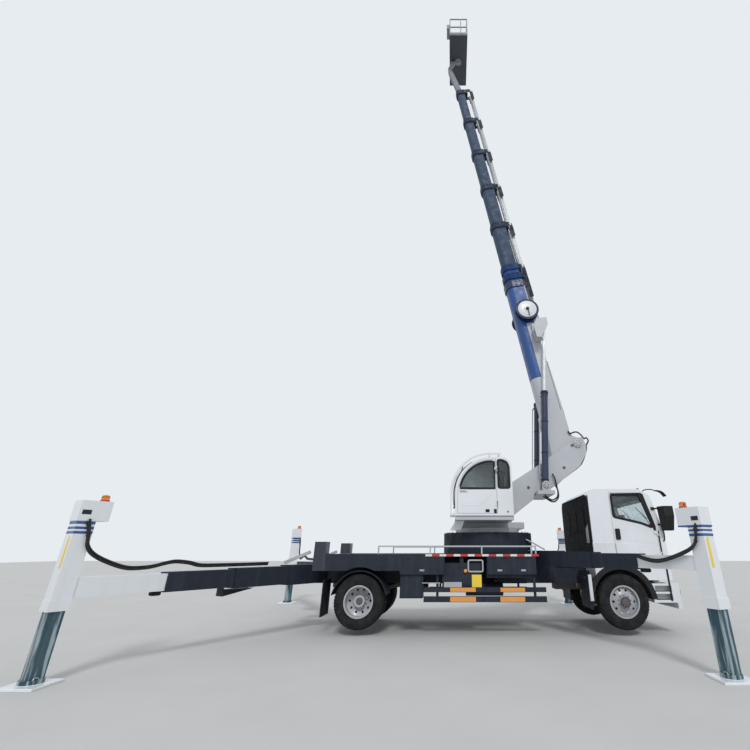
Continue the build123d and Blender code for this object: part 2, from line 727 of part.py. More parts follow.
def operator_cab():
    skin_in = op_outer_y + op_wall + 5
    body = nose_solid(0, op_rear, op_floor, op_outer_y, op_inner_y, op_tail_radius)
    body -= nose_solid(
        op_wall, op_rear - op_wall, op_floor + op_wall, op_outer_y + op_wall, op_inner_y - op_wall,
        op_tail_radius - op_wall,
    )
    body -= nose_solid(op_door_inset, op_pillar_x, op_door_low, op_outer_y - 5, skin_in)
    body -= pane_block(0)
    body -= slab(op_rear_pane, op_outer_y - 5, skin_in)
    guard_x, guard_z, r = op_front - op_guard_gap, op_roof + op_guard_gap, op_nose_radius + op_guard_gap
    cx, cz = op_front + op_nose_radius, op_roof - op_nose_radius
    g = op_guard_half
    for y in (op_outer_y + 60, op_inner_y - 60):
        hoop = Pos(cx, y, cz) * Rot(90, 0, 0) * (Cylinder(r + g, 2 * g) - Cylinder(r - g, 2 * g))
        hoop = hoop & span(cx - r - 30, cx, y - 30, y + 30, cz, cz + r + 30)
        hoop += span(guard_x - g, guard_x + g, y - g, y + g, op_floor + 60, cz)
        hoop += span(cx, op_rear - op_tail_radius, y - g, y + g, guard_z - g, guard_z + g)
        hoop += span(guard_x - g, op_front + 10, y - g, y + g, op_floor + 20, op_floor + 60)
        for x in (cx, op_rear - op_tail_radius - g):
            hoop += span(x - g, x + g, y - g, y + g, op_roof - 5, guard_z)
        body += hoop
    bars = [
        (guard_x, op_floor + 450), (guard_x, cz), (cx - r * cos(radians(45)), cz + r * cos(radians(45))),
        (cx, guard_z), (op_rear - op_tail_radius - 30, guard_z),
    ]
    for x, z in bars:
        body += across(x, z, op_outer_y + 60, op_inner_y - 60, 16)
    for z in op_hinge_heights:
        for e in (-42, 42):
            body += Pos(op_hinge_x, op_hinge_y, z + e) * Cylinder(10, 24)
            body += span(op_hinge_x - 8, op_hinge_x + 20, op_hinge_y, op_outer_y + 5, z + e - 12, z + e + 12)
        body += Pos(op_hinge_x, op_hinge_y, z) * Cylinder(5, 108)
    save("operator_cab", body)


def operator_door():
    rear, low = op_pillar_x - door_gap, op_door_low + door_gap
    door = nose_solid(op_door_inset + door_gap, rear, low, op_outer_y, op_outer_y + op_wall)
    skin_in = op_outer_y + op_wall + 5
    pane = nose_solid(op_door_pane_inset, op_door_pane_rear, low, op_outer_y - 5, skin_in)
    door -= pane & span(op_front, op_rear, op_outer_y - 5, skin_in, op_door_pane_low, op_roof)
    door += span(op_front + 110, op_front + 220, op_outer_y - 25, op_outer_y, 2755, 2780)
    for z in op_hinge_heights:
        door += Pos(op_hinge_x, op_hinge_y, z) * Cylinder(10, 58)
        door += span(op_hinge_x - 45, op_hinge_x, op_hinge_y - 5, op_hinge_y + 5, z - 29, z + 29)
        door += span(op_hinge_x - 45, op_hinge_x - 18, op_hinge_y - 5, op_outer_y + 5, z - 29, z + 29)
        door -= Pos(op_hinge_x, op_hinge_y, z) * Cylinder(5 + bearing_gap, 60)
    save("operator_door", door)


def pane_block(gap):
    """The space that the front pane's opening takes out of the operator's cab, drawn in by a gap."""
    y0, y1 = op_outer_y + 70 + gap, op_inner_y - 70 - gap
    return span(op_front - 10, op_front + op_pane_depth - gap, y0, y1, op_pane_low + gap, op_roof - 120 - gap)


def operator_glass():
    y0, y1 = op_outer_y + op_wall, op_inner_y - op_wall
    pane = nose_solid(15, op_rear, op_floor, y0, y1) - nose_solid(21, op_rear, op_floor - 10, y0 - 1, y1 + 1)
    save("operator_glass", pane & pane_block(pad_gap))


def operator_seat():
    y = (op_outer_y + op_inner_y) / 2
    floor = op_floor + op_wall
    back_x = op_rear - 260
    seat = span(back_x - 430, back_x, y - 210, y + 210, floor, floor + 340)
    seat += Pos(back_x, y, floor + 300) * Rot(0, 8, 0) * Pos(0, 0, 310) * Box(100, 400, 640)
    console = span(op_front + 130, op_front + 300, y - 200, y + 200, floor, floor + 420)
    save("operator_seat", seat, console)


# Boom

boom_up = Vector(-cos(radians(boom_angle)), 0, sin(radians(boom_angle)))
boom_belly = Vector(-sin(radians(boom_angle)), 0, -cos(radians(boom_angle)))
boom_place = Location(Plane(origin=(pivot_x, 0, pivot_z), x_dir=boom_belly, z_dir=boom_up))


def section_size(k):
    return root_height - k * section_step, root_width - k * section_step


def section_outline(k, grow=0):
    """Cross-section of part k: a box with large radii on the belly and small ones on the back."""
    height, width = section_size(k)
    box = Rectangle(height + 2 * grow, width + 2 * grow)
    belly = belly_radius - section_step / 2 * k + grow
    back = max(max(back_radius - section_step / 2 * k, least_radius) + grow, 4)
    box = fillet(box.vertices().group_by(Axis.X)[-1], belly)
    return fillet(box.vertices().group_by(Axis.X)[0], back)


def section_tube(k, s0, s1):
    outer = extrude(section_outline(k), amount=s1 - s0)
    inner = extrude(section_outline(k, -section_wall), amount=s1 - s0)
    return Pos(boom_axis_v, 0, s0) * (outer - inner)


def section_head(k, s):
    """Collar, slide pads for the next part, and the roller bracket on the back, at head position s."""
    height, width = section_size(k)
    collar = extrude(section_outline(k, collar_rise), amount=collar_length)
    collar -= extrude(section_outline(k, -section_wall / 2), amount=collar_length)
    head = Pos(boom_axis_v, 0, s - collar_length) * collar
    run = section_step / 2 - section_wall - pad_gap
    h, w = height / 2 - section_wall, width / 2 - section_wall
    pads = []
    if k < len(section_reach):
        for v in (boom_axis_v - h, boom_axis_v + h - run):
            pads.append(span(v, v + run, -w / 4, w / 4, s - pad_length, s))
        for y in (-w, w - run):
            pads.append(span(boom_axis_v - h / 2, boom_axis_v + h / 4, y, y + run, s - pad_length, s))
    back = boom_axis_v - height / 2 - collar_rise
    cheek = span(back - roller_reach, back + 10, roller_half, roller_half + 12, s - collar_length + 20, s - 20)
    rollers = [across(back - roller_reach + 45, s - e, -roller_half, roller_half, 42) for e in (60, 150)]
    return head + pads + both_sides(cheek) + rollers


def head_positions():
    """Distance of each part's head from the pivot, the root's first."""
    heads = [root_head_s]
    for reach in section_reach:
        heads.append(heads[-1] + reach)
    return heads


def boom_root():
    tube_part = section_tube(0, 100, root_head_s)
    side_in, side_out = root_width / 2 - 8, cheek_inner - 10
    foot = slab(foot_outline, side_in, side_out)
    spine = slab(spine_outline, -side_in, side_in)
    rim = prism(foot_outline, -side_in, side_in) - prism(foot_outline, -side_in - 1, side_in + 1, foot_plate)
    hollow = extrude(section_outline(0, -section_wall), amount=root_head_s)
    rim -= Pos(boom_axis_v, 0, 100) * hollow
    bosses = both_sides(foot + across(0, 0, side_in - 30, side_out, 150))
    body = tube_part + spine + rim + bosses
    body -= across(0, 0, -side_out - 10, side_out + 10, pivot_radius + bearing_gap)
    ear_in, ear_out = lift_y - lift_eye_width / 2 - lift_ear_gap, lift_y + lift_eye_width / 2 + lift_ear_gap
    back = boom_axis_v - root_height / 2 + 6
    beam = span(-84, back, -ear_out, ear_out, lift_pin_s + beam_rise, lift_pin_s + beam_rise + beam_depth)
    inner_box = span(back - 20, 300, root_width / 2 - 5, ear_in - lift_ear_plate, lift_pin_s - 370, lift_pin_s + 170)
    brackets = inner_box
    for y in (ear_in - lift_ear_plate, ear_out):
        brackets += slab(ear_outline, y, y + lift_ear_plate)
    root = body + section_head(0, root_head_s) + beam + both_sides(brackets)
    save("boom_root", boom_place * root)


def boom_sections():
    heads = head_positions()
    for k in range(1, len(heads)):
        retracted = root_head_s + k * head_step
        length = retracted - tail_s - k * tail_step
        section = section_tube(k, heads[k] - length, heads[k]) + section_head(k, heads[k])
        if k == len(heads) - 1:
            section += jib(heads[k])
        save("boom_section_" + str(k), boom_place * section)


def jib(s):
    """The arm past the last head, ending in the fork that carries the basket."""
    end_s, end_v = s + jib_length, jib_v
    low, high = boom_axis_v - 90, boom_axis_v + 90
    arm = [(low, s - 30), (high, s - 30), (end_v + 70, end_s - 190), (end_v - 80, end_s - 190)]
    cap = Pos(boom_axis_v, 0, s - 20) * extrude(section_outline(len(section_reach)), amount=20)
    body = slab(arm, -80, 80) + cap
    fork = [(end_v + 70, end_s - 190), (end_v + 55, end_s), (end_v - 55, end_s), (end_v - 80, end_s - 190)]
    for y in (-80, 45):
        body += slab(fork, y, y + 35) + across(end_v, end_s, y, y + 35, 55)
    return body + across(end_v, end_s, -95, 95, basket_pin_radius)


def hose_reels():
    """Hose reels on both sides of the root: two flanges on a drum, with a foot on the boom."""
    reels = []
    for sign in side_name:
        inner = root_width / 2 + 20
        reel = across(reel_v, reel_s, inner, inner + 14, reel_radius)
        reel += across(reel_v, reel_s, inner + 146, inner + 160, reel_radius)
        reel += across(reel_v, reel_s, root_width / 2 + pad_gap, inner + 160, reel_radius * 0.55)
        reels.append(boom_place * side(reel, sign))
    save("hose_reels", *reels)


# Lift cylinders


def lift_axis():
    """Direction and length from the base pin to the upper pin, in the XZ plane."""
    top = Vector(pivot_x, 0, pivot_z) + boom_up * lift_pin_s + boom_belly * lift_pin_v
    reach = top - Vector(base_pin_x, 0, base_pin_z)
    return reach.normalized(), reach.length


def lift_cylinders():
    direction, length = lift_axis()
    place = Location(Plane(origin=(base_pin_x, 0, base_pin_z), x_dir=(0, 1, 0), z_dir=direction))
    half = lift_eye_width / 2
    barrels, rods = [], []
    for y in (-lift_y, lift_y):
        tube_part = Pos(y, 0, (barrel_length + 60) / 2) * Cylinder(barrel_radius, barrel_length - 60)
        bore = Pos(y, 0, (barrel_length + 80) / 2) * Cylinder(barrel_bore, barrel_length - 320)
        gland = Pos(y, 0, barrel_length - 60) * (Cylinder(barrel_radius + 8, 120))
        eye = Pos(y, 0, 0) * Rot(0, 90, 0) * Cylinder(lift_eye_radius, lift_eye_width)
        barrel = tube_part + gland + eye - bore
        barrel -= Pos(y, 0, barrel_length - 60) * Cylinder(rod_radius + bearing_gap, 140)
        barrel -= Pos(y, 0, 0) * Rot(0, 90, 0) * Cylinder(lift_pin_radius + bearing_gap, lift_eye_width + 2)
        barrels.append(place * barrel)
        bar = Pos(y, 0, length - rod_length / 2) * Cylinder(rod_radius, rod_length)
        turned = Pos(y, 0, length) * Rot(0, 90, 0)
        top_eye = turned * Cylinder(lift_eye_radius, lift_eye_width)
        pin = turned * Cylinder(lift_pin_radius, lift_eye_width + 16)
        rods.append(place * (bar + top_eye + pin))
    save("lift_barrels", *barrels)
    save("lift_rods", *rods)


# Basket


def basket_place():
    """The levelling pin, in truck coordinates."""
    s = head_positions()[-1] + jib_length
    return Vector(pivot_x, 0, pivot_z) + boom_up * s + boom_belly * jib_v


def basket():
    pin = basket_place()
    x0, floor_z = pin.X + basket_offset, pin.Z + basket_rise
    mid = x0 + basket_length / 2
    eye = across(pin.X, pin.Z, -40, 40, 60)
    arm = slab(
        [
            (pin.X - 50, pin.Z), (pin.X + 45, pin.Z + 20), (mid - 100, floor_z - 120),
            (mid + 110, floor_z - 120), (mid + 110, floor_z - 40), (pin.X + 60, floor_z - 40),
        ],
        -40, 40,
    )
    table = Pos(mid, 0, floor_z - 25 - pad_gap) * Cylinder(130, 50)
    table += Pos(mid, 0, floor_z + 10) * Cylinder(40, 60)
    carrier = eye + arm + table - across(pin.X, pin.Z, -50, 50, basket_pin_radius + bearing_gap)
    save("basket_carrier", carrier)
    half = basket_width / 2
    floor = span(x0, x0 + basket_length, -half, half, floor_z, floor_z + basket_floor)
    floor -= Pos(mid, 0, floor_z) * Cylinder(40 + bearing_gap, 90)
    top = floor_z + basket_height
    cage = floor + span(x0, x0 + basket_length, -half, half, floor_z + 50, floor_z + 200)
    cage -= span(x0 + 4, x0 + basket_length - 4, -half + 4, half - 4, floor_z + basket_floor, floor_z + 210)
    for z in (top - tube, (top + floor_z) / 2):
        ring = span(x0, x0 + basket_length, -half, half, z, z + tube)
        inside = half - tube
        cage += ring - span(x0 + tube, x0 + basket_length - tube, -inside, inside, z - 1, z + tube + 1)
    for x in (x0, x0 + basket_length - tube):
        for y in (-half, -half / 3, half / 3, half - tube):
            cage += span(x, x + tube, y, y + tube, floor_z + 10, top)
    mid_post = x0 + 0.6 * basket_length
    for y in (-half, half - tube):
        cage += span(mid_post, mid_post + tube, y, y + tube, floor_z + 10, top)
    box = span(x0 - 110, x0 + 20, -750, -350, top - 260, top - 20)
    save("basket", cage + box)


# Outriggers


def leg_frame(corner):
    sign, cross_x, angle = outriggers[corner][:3]
    leg_at = beam_sizes(corner)[1]
    return Pos(cross_x, 0, 0) * Rot(0, 0, sign * angle) * Pos(leg_at, 0, 0)


def outrigger(corner):
    sign, cross_x, angle, mid_z, height, leg_y, leg_top = outriggers[corner]
    end, leg_at, stroke = beam_sizes(corner)
    place = beam_place(corner)
    for k, name in ((1, "outer"), (2, "middle")):
        width, tall = stage_width - (k - 1) * stage_step, height - (k - 1) * stage_step
        tail, head = stage_tail + k * stroke, end + k * (stage_lip + stroke)
        stage = hollow_beam(tail, head, width, tall, tail - 1)
        stage += slide_pads(head, width, tall)
        save("outrigger_" + name + "_" + corner, place * stage)
    width, tall = stage_width - 2 * stage_step, height - 2 * stage_step
    beam = hollow_beam(stage_tail + 3 * stroke, leg_at - leg_size / 2 + 5, width, tall, 0)
    half, bore = leg_size / 2, leg_size / 2 - leg_wall
    z0, z1 = leg_bottom - mid_z, leg_top - mid_z
    box = span(leg_at - half, leg_at + half, -half, half, z0, z1)
    wide = half + 10
    cover = span(leg_at - half - cover_reach, leg_at + wide, -wide, wide, z1 - cover_depth, z1)
    cover += span(leg_at - wide, leg_at + wide, -wide, wide, z0, z0 + collar_height)
    hole = span(leg_at - bore, leg_at + bore, -bore, bore, z0 - 1, z1 - leg_wall)
    run = leg_gap - pad_gap
    pads = [span(leg_at - 70, leg_at + 70, y, y + run, z0, z0 + 90) for y in (-bore, bore - run)]
    pads += [span(x, x + run, -70, 70, z0, z0 + 90) for x in (leg_at - bore, leg_at + bore - run)]
    save("outrigger_beam_" + corner, place * (beam + box + cover - hole + pads))
    leg = leg_size - 2 * leg_wall - 2 * leg_gap
    post = span(-leg / 2, leg / 2, -leg / 2, leg / 2, pad_plate, jack_top)
    pad = span(-pad_size / 2, pad_size / 2, -pad_size / 2, pad_size / 2, 0, pad_plate)
    pad = chamfer(pad.edges().group_by(Axis.Z)[-1], 8)
    cup = Pos(0, 0, pad_plate + 25) * Cylinder(135, 50)
    foot = leg_frame(corner) * (post + cup)
    foot_x, foot_y = cross_x + leg_y / tan(radians(angle)), sign * leg_y
    save("outrigger_jack_" + corner, foot + Pos(foot_x, foot_y, 0) * pad)


def main():
    axles()
    for sign in side_name:
        front_wheel(sign)
        rear_wheel(sign)
        knuckle(sign)
        cab_door(sign)
    for make in (chassis_frame, deck, deck_rails, engine_block, side_lockers, tanks, side_guards, front_bumper):
        make()
    for make in (cab_shell, cab_glass, cab_interior, cab_mirrors):
        make()
    for make in (turret, operator_cab, operator_door, operator_glass, operator_seat):
        make()
    for make in (boom_root, boom_sections, hose_reels, lift_cylinders, basket):
        make()
    for corner in outriggers:
        outrigger(corner)


main()
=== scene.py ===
"""Looks for the truck-mounted cherry picker: paint, glass, tread, hoses, lamps, tapes and small fittings."""
import json
from math import cos, pi, radians, sin

import bmesh
import bpy
import numpy as np
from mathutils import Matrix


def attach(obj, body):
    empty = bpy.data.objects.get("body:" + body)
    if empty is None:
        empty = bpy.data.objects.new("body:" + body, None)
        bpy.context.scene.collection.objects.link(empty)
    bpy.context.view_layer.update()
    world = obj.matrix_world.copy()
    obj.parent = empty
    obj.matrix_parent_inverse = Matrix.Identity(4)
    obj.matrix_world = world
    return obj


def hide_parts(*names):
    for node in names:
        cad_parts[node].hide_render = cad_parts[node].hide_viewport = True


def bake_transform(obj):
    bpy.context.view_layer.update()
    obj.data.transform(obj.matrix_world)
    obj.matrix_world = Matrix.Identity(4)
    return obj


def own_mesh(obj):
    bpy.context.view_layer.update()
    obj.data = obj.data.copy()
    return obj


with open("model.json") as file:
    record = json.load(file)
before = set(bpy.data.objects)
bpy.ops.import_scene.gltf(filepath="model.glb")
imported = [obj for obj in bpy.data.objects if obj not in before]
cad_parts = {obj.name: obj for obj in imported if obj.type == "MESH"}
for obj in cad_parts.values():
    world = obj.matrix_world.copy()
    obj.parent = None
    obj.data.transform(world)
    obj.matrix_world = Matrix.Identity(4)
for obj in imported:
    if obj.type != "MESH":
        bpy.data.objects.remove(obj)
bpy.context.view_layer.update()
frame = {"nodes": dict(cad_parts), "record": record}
nodes = frame["nodes"]

REAR_AXLE_X = -1.491
WHEELBASE = 5.4
HUB_Z = 0.61
TYRE_RADIUS = 0.51
TRACK_Y = 1.075
BOOM_ANGLE = radians(80)
PIVOT = np.array([5.08 + REAR_AXLE_X, 0, 4.07])
BOOM_UP = np.array([-cos(BOOM_ANGLE), 0, sin(BOOM_ANGLE)])
BOOM_BELLY = np.array([-sin(BOOM_ANGLE), 0, -cos(BOOM_ANGLE)])
HEADS = [5.15, 5.45, 5.8, 7.5, 9.2, 10.9, 12.6, 14.25]
# end: X where the beam's axis meets the middle line, its angle, mid height, height of the first stage,
# |Y| of the leg, height of its top
OUTRIGGERS = {
    "rear": (-0.83, 120.2, 1.105, 0.33, 4.42, 2.24),
    "front": (3.53, 63.6, 1.405, 0.28, 4.15, 2.175),
}


def at(x, y, z):
    """A point given from the rear axle, in the part's own frame."""
    return np.array([x + REAR_AXLE_X, y, z], float)


def all_at(points):
    """Points given from the rear axle, in the part's own frame."""
    return np.array([at(*point) for point in points])


def from_axle(pairs):
    """(x, z) pairs given from the rear axle, in the part's frame."""
    return np.array(pairs) + (REAR_AXLE_X, 0)


def on_boom(s, v, y=0.0):
    """A point at distance s from the pivot along the boom, v towards its belly, y to the left."""
    return PIVOT + BOOM_UP * s + BOOM_BELLY * v + (0, y, 0)


# Shapes, given as (points, faces), and the outlines and paths that they are made from


def skin(grid, rows_close=False, columns_close=False):
    """A grid of points as a sheet: every cell between neighbouring rows and columns is one quad."""
    rows, columns = grid.shape[:2]
    r = np.arange(rows if rows_close else rows - 1)
    c = np.arange(columns if columns_close else columns - 1)
    r, c = np.meshgrid(r, c, indexing="ij")
    r2, c2 = (r + 1) % rows, (c + 1) % columns
    quads = np.stack([r * columns + c, r * columns + c2, r2 * columns + c2, r2 * columns + c], -1)
    return grid.reshape(-1, 3), quads.reshape(-1, 4)


def capped(grid):
    """Rings of points as a closed body: the first and last rings shrink to their own centres."""
    first, last = grid[:1].mean(1, keepdims=True), grid[-1:].mean(1, keepdims=True)
    ends = [np.repeat(p, grid.shape[1], 1) for p in (first, last)]
    return skin(np.concatenate([ends[0], grid, ends[1]]), columns_close=True)


def unit(vectors):
    """Vectors divided by their own lengths."""
    return vectors / np.linalg.norm(vectors, axis=-1, keepdims=True)


def swept(path, profile):
    """A closed profile of (a, b) pairs carried along a path, standing square to it."""
    path, profile = np.asarray(path, float), np.asarray(profile, float)
    tangent = unit(np.gradient(path, axis=0))
    side = unit(np.cross(tangent, np.eye(3)[np.argmin(np.abs(tangent).max(0))]))
    up = np.cross(tangent, side)
    return capped(path[:, None] + side[:, None] * profile[None, :, :1] + up[:, None] * profile[None, :, 1:])


def turns(steps):
    """Angles at even steps once round."""
    return np.linspace(0, 2 * pi, steps, endpoint=False)


def circle(radius, sides):
    """(a, b) pairs radius (cos turn, sin turn) at even steps once round."""
    return np.stack([radius * np.cos(turns(sides)), radius * np.sin(turns(sides))], 1)


def arc(centre, radius, turn, x=(1, 0, 0), y=(0, 0, 1)):
    """Points at the given angles round a centre, in the plane of x and y."""
    turn = np.asarray(turn)[:, None]
    return centre + radius * (np.cos(turn) * x + np.sin(turn) * y)


def rect(a0, b0, a1, b1):
    """The outline of a rectangle between two corners."""
    return [(a0, b0), (a1, b0), (a1, b1), (a0, b1)]


def pipe(path, radius, sides=12):
    """A round bar along a path."""
    return swept(path, circle(radius, sides))


def turned(profile, centre, axis, sides=32):
    """A profile of (radius, distance) pairs turned round an axis through centre."""
    profile = np.asarray(profile, float)
    axis = unit(axis)
    side = unit(np.cross(axis, np.eye(3)[np.argmin(np.abs(axis))]))
    ring = arc((0, 0, 0), 1, turns(sides), side, np.cross(axis, side))
    return capped(centre + profile[:, None, 1:] * axis + profile[:, None, :1] * ring[None])


def block(low, high, edge):
    """A box between two corners whose edges are cut off at 45 degrees."""
    low, high = np.asarray(low, float), np.asarray(high, float)
    e = min(edge, 0.3 * float((high - low).min()))
    x0, y0, z0 = low
    x1, y1, z1 = high

    def ring(inset, z):
        a, b, c, d = x0 + inset, x1 - inset, y0 + inset, y1 - inset
        corners = [(a + e, c), (b - e, c), (b, c + e), (b, d - e)]
        corners += [(b - e, d), (a + e, d), (a, d - e), (a, c + e)]
        return [(x, y, z) for x, y in corners]

    return capped(np.array([ring(e, z0), ring(0, z0 + e), ring(0, z1 - e), ring(e, z1)]))


def box(x0, y0, z0, x1, y1, z1, edge=0.004):
    """A block between two corners given from the rear axle."""
    return block(at(x0, y0, z0), at(x1, y1, z1), edge)


def plate(outline, origin, x, y, thickness, edge=0.002):
    """A flat plate: an outline of (a, b) pairs in the plane of x and y, its thickness along their cross."""
    outline = np.asarray(outline, float)
    middle, normal = outline.mean(0), np.cross(x, y)
    size = np.abs(outline - middle).max()
    small = middle + (outline - middle) * (1 - edge / size)
    levels = [(small, 0), (outline, edge), (outline, thickness - edge), (small, thickness)]
    return capped(np.array([origin + o[:, :1] * x + o[:, 1:] * y + normal * t for o, t in levels]))


def moved(shape, matrix, offset):
    """The shape turned by a matrix, then shifted."""
    points, faces = shape
    return points @ np.transpose(matrix) + offset, faces


def copies(shape, offsets):
    """The shape once at each offset."""
    points, faces = shape
    offsets = np.asarray(offsets, float)
    many = (offsets[:, None] + points[None]).reshape(-1, 3)
    shift = np.arange(len(offsets))[:, None, None] * len(points)
    return many, (faces[None] + shift).reshape(-1, faces.shape[1])


def sided(shape, side):
    """A shape drawn on the right-hand side, mirrored when side is +1."""
    points, faces = shape
    if side < 0:
        return shape
    return points * (1, -1, 1), faces[:, ::-1]


def both_sides(shapes):
    """Shapes and their mirror images in the truck's middle plane."""
    return shapes + [sided(shape, 1) for shape in shapes]


def joined(shapes):
    """Several shapes as one, each one's faces counted on from the points before it."""
    points, faces, start = [], [], 0
    for p, f in shapes:
        points.append(p)
        faces.append(f + start)
        start += len(p)
    return np.concatenate(points), np.concatenate(faces)


def placed(name, data, location=(0, 0, 0), tilt=(0, 0, 0)):
    """A new object in the scene, tilted by degrees about X, Y and Z."""
    obj = bpy.data.objects.new(name, data)
    obj.location = location
    obj.rotation_euler = [radians(angle) for angle in tilt]
    bpy.context.scene.collection.objects.link(obj)
    return obj


def piece(name, shapes, body, slot=None, finish=None, side=-1, smooth=True, span=None):
    """Shapes joined into one object: doubles merged, faces turned outwards, riding on its body.

    Its finish is the slot's unless another is named. It is drawn on the right and mirrored when side is +1.
    With span, it is baked where it stands and rides on no body; the body and points in span are not used."""
    points, faces = joined([sided(shape, side) for shape in shapes])
    mesh = bpy.data.meshes.new(name)
    mesh.from_pydata(points.tolist(), [], faces.tolist())
    work = bmesh.new()
    work.from_mesh(mesh)
    bmesh.ops.remove_doubles(work, verts=work.verts, dist=1e-5)
    bmesh.ops.dissolve_degenerate(work, edges=work.edges, dist=1e-6)
    bmesh.ops.recalc_face_normals(work, faces=work.faces)
    work.to_mesh(mesh)
    work.free()
    mesh.materials.append(material(finish or slot))
    if smooth:
        mesh.shade_smooth()
        mesh.set_sharp_from_angle(angle=radians(35))
    obj = placed(name, mesh)
    if span:
        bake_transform(obj)
    else:
        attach(obj, body)
    return obj


# Finishes

FINISHES = {}
# slot: its finish, where the two have different names
SLOT_FINISH = {
    "cast_grey": "cast_steel", "dark_fabric": "seat_cloth", "clear_glass": "cab_glass",
    "rod_chrome": "chrome_rod",
}


def material(name):
    """The finish of this name, or that of the slot."""
    return FINISHES[SLOT_FINISH.get(name, name)]


class Finish:
    """A material being built: each method adds one node and gives its output."""

    def __init__(self, name, **sockets):
        self.material = FINISHES[name] = bpy.data.materials.new(name)
        self.material.use_nodes = True
        self.tree = self.material.node_tree
        self.shader = self.tree.nodes["Principled BSDF"]
        self.place = self.tree.nodes.new("ShaderNodeTexCoord").outputs["Object"]
        for socket, value in sockets.items():
            self.shader.inputs[socket.replace("_", " ")].default_value = value

    def node(self, kind, links, **settings):
        """A node whose inputs are fed from other nodes or with plain values."""
        new = self.tree.nodes.new(kind)
        for key, value in settings.items():
            setattr(new, key, value)
        for socket, value in links:
            if isinstance(value, bpy.types.NodeSocket):
                self.tree.links.new(value, new.inputs[socket])
            else:
                new.inputs[socket].default_value = value
        return new

    def noise(self, scale, detail=3.0, stretch=(1, 1, 1)):
        vector = self.node("ShaderNodeMapping", [("Vector", self.place), ("Scale", stretch)]).outputs[0]
        made = self.node("ShaderNodeTexNoise", [("Vector", vector), ("Scale", scale), ("Detail", detail)])
        return made.outputs["Fac"]

    def along(self, direction, origin):
        """Distance in metres along a direction from an origin."""
        links = [(0, self.place), (1, tuple(map(float, direction)))]
        dot = self.node("ShaderNodeVectorMath", links, operation="DOT_PRODUCT")
        return self.maths("SUBTRACT", dot.outputs["Value"], float(np.dot(direction, origin)))

    def height(self):
        """Height over the ground."""
        return self.along((0, 0, 1), (0, 0, 0))

    def from_axle(self):
        """Distance ahead of the rear axle."""
        return self.along((1, 0, 0), at(0, 0, 0))

    def maths(self, operation, a, b):
        return self.node("ShaderNodeMath", [(0, a), (1, b)], operation=operation).outputs[0]

    def product(self, a, b):
        return self.maths("MULTIPLY", a, b)

    def ramp(self, value, low, high, out_low=0.0, out_high=1.0):
        sockets = ("Value", "From Min", "From Max", "To Min", "To Max")
        links = list(zip(sockets, (value, low, high, out_low, out_high)))
        return self.node("ShaderNodeMapRange", links).outputs["Result"]

    def above(self, a, b):
        """One where a is greater than b."""
        return self.maths("GREATER_THAN", a, b)

    def between(self, low, value, high):
        """One where the value lies between low and high."""
        return self.product(self.above(value, low), self.above(high, value))

    def mix(self, factor, a, b):
        a, b = (c if isinstance(c, bpy.types.NodeSocket) else (*c, 1) for c in (a, b))
        return self.node("ShaderNodeMix", [("Factor", factor), (6, a), (7, b)], data_type="RGBA").outputs[2]

    def colour(self, value):
        self.tree.links.new(value, self.shader.inputs["Base Color"])

    def rough(self, value):
        self.tree.links.new(value, self.shader.inputs["Roughness"])

    def bump(self, height, strength, distance):
        links = [("Height", height), ("Strength", strength), ("Distance", distance)]
        made = self.node("ShaderNodeBump", links)
        self.tree.links.new(made.outputs[0], self.shader.inputs["Normal"])


def darker(colour, share):
    """The colour times a share."""
    return tuple(c * share for c in colour)


DUST = (0.30, 0.29, 0.27)


def paint(name, colour, gloss=0.35, dust=0.12, bands=None, coat=0.25):
    """Sprayed paint: slow shifts of tone, fine orange peel, streaks and dust, thicker near the ground."""
    f = Finish(name, Coat_Weight=coat, Coat_Roughness=0.15, Specular_IOR_Level=0.3 if coat < 0.1 else 0.5)
    tone = bands(f, colour) if bands else f.mix(f.ramp(f.noise(1.3), 0.35, 0.65), colour, darker(colour, 0.9))
    streak = f.ramp(f.noise(9, 4, (1, 1, 0.12)), 0.52, 0.72)
    low = f.ramp(f.height(), 0.3, 2.4, 1.0, 0.25)
    tone = f.mix(f.product(f.product(streak, low), dust), tone, DUST)
    speck = f.ramp(f.noise(42, 5), 0.62, 0.72)
    f.colour(f.mix(f.product(speck, dust * 0.3), tone, darker(DUST, 0.6)))
    f.rough(f.ramp(f.noise(6, 4), 0.3, 0.7, gloss * 0.8, min(gloss * 1.4, 1)))
    f.bump(f.noise(90, 2), 0.02, 0.001)
    return f.material


def rubber(name, colour, rough, scale=70):
    """Weathered rubber: grey bloom in patches over fine pits."""
    f = Finish(name, Specular_IOR_Level=0.25)
    f.colour(f.mix(f.ramp(f.noise(8, 5), 0.4, 0.75), colour, tuple(c + 0.015 for c in colour)))
    f.rough(f.ramp(f.noise(15, 3), 0.3, 0.7, rough * 0.85, min(1, rough * 1.15)))
    f.bump(f.noise(scale * 4, 3), 0.25, 0.002)
    return f.material


def bare_metal(name, colour, rough):
    """Bare or plated metal: a fine grain and faint stains."""
    f = Finish(name, Metallic=1.0)
    f.colour(f.mix(f.ramp(f.noise(5, 5), 0.4, 0.8), colour, darker(colour, 0.75)))
    f.rough(f.ramp(f.noise(30, 4), 0.25, 0.75, rough * 0.7, min(1, rough * 1.4)))
    f.bump(f.noise(220, 2), 0.08, 0.001)
    return f.material


def cast(name, colour):
    """Sand-cast or forged steel under thin dirty paint."""
    f = Finish(name)
    f.colour(f.mix(f.ramp(f.noise(7, 6), 0.35, 0.7), colour, (0.12, 0.09, 0.07)))
    f.rough(f.ramp(f.noise(20, 4), 0.3, 0.7, 0.55, 0.85))
    f.bump(f.noise(120, 4), 0.35, 0.003)
    return f.material


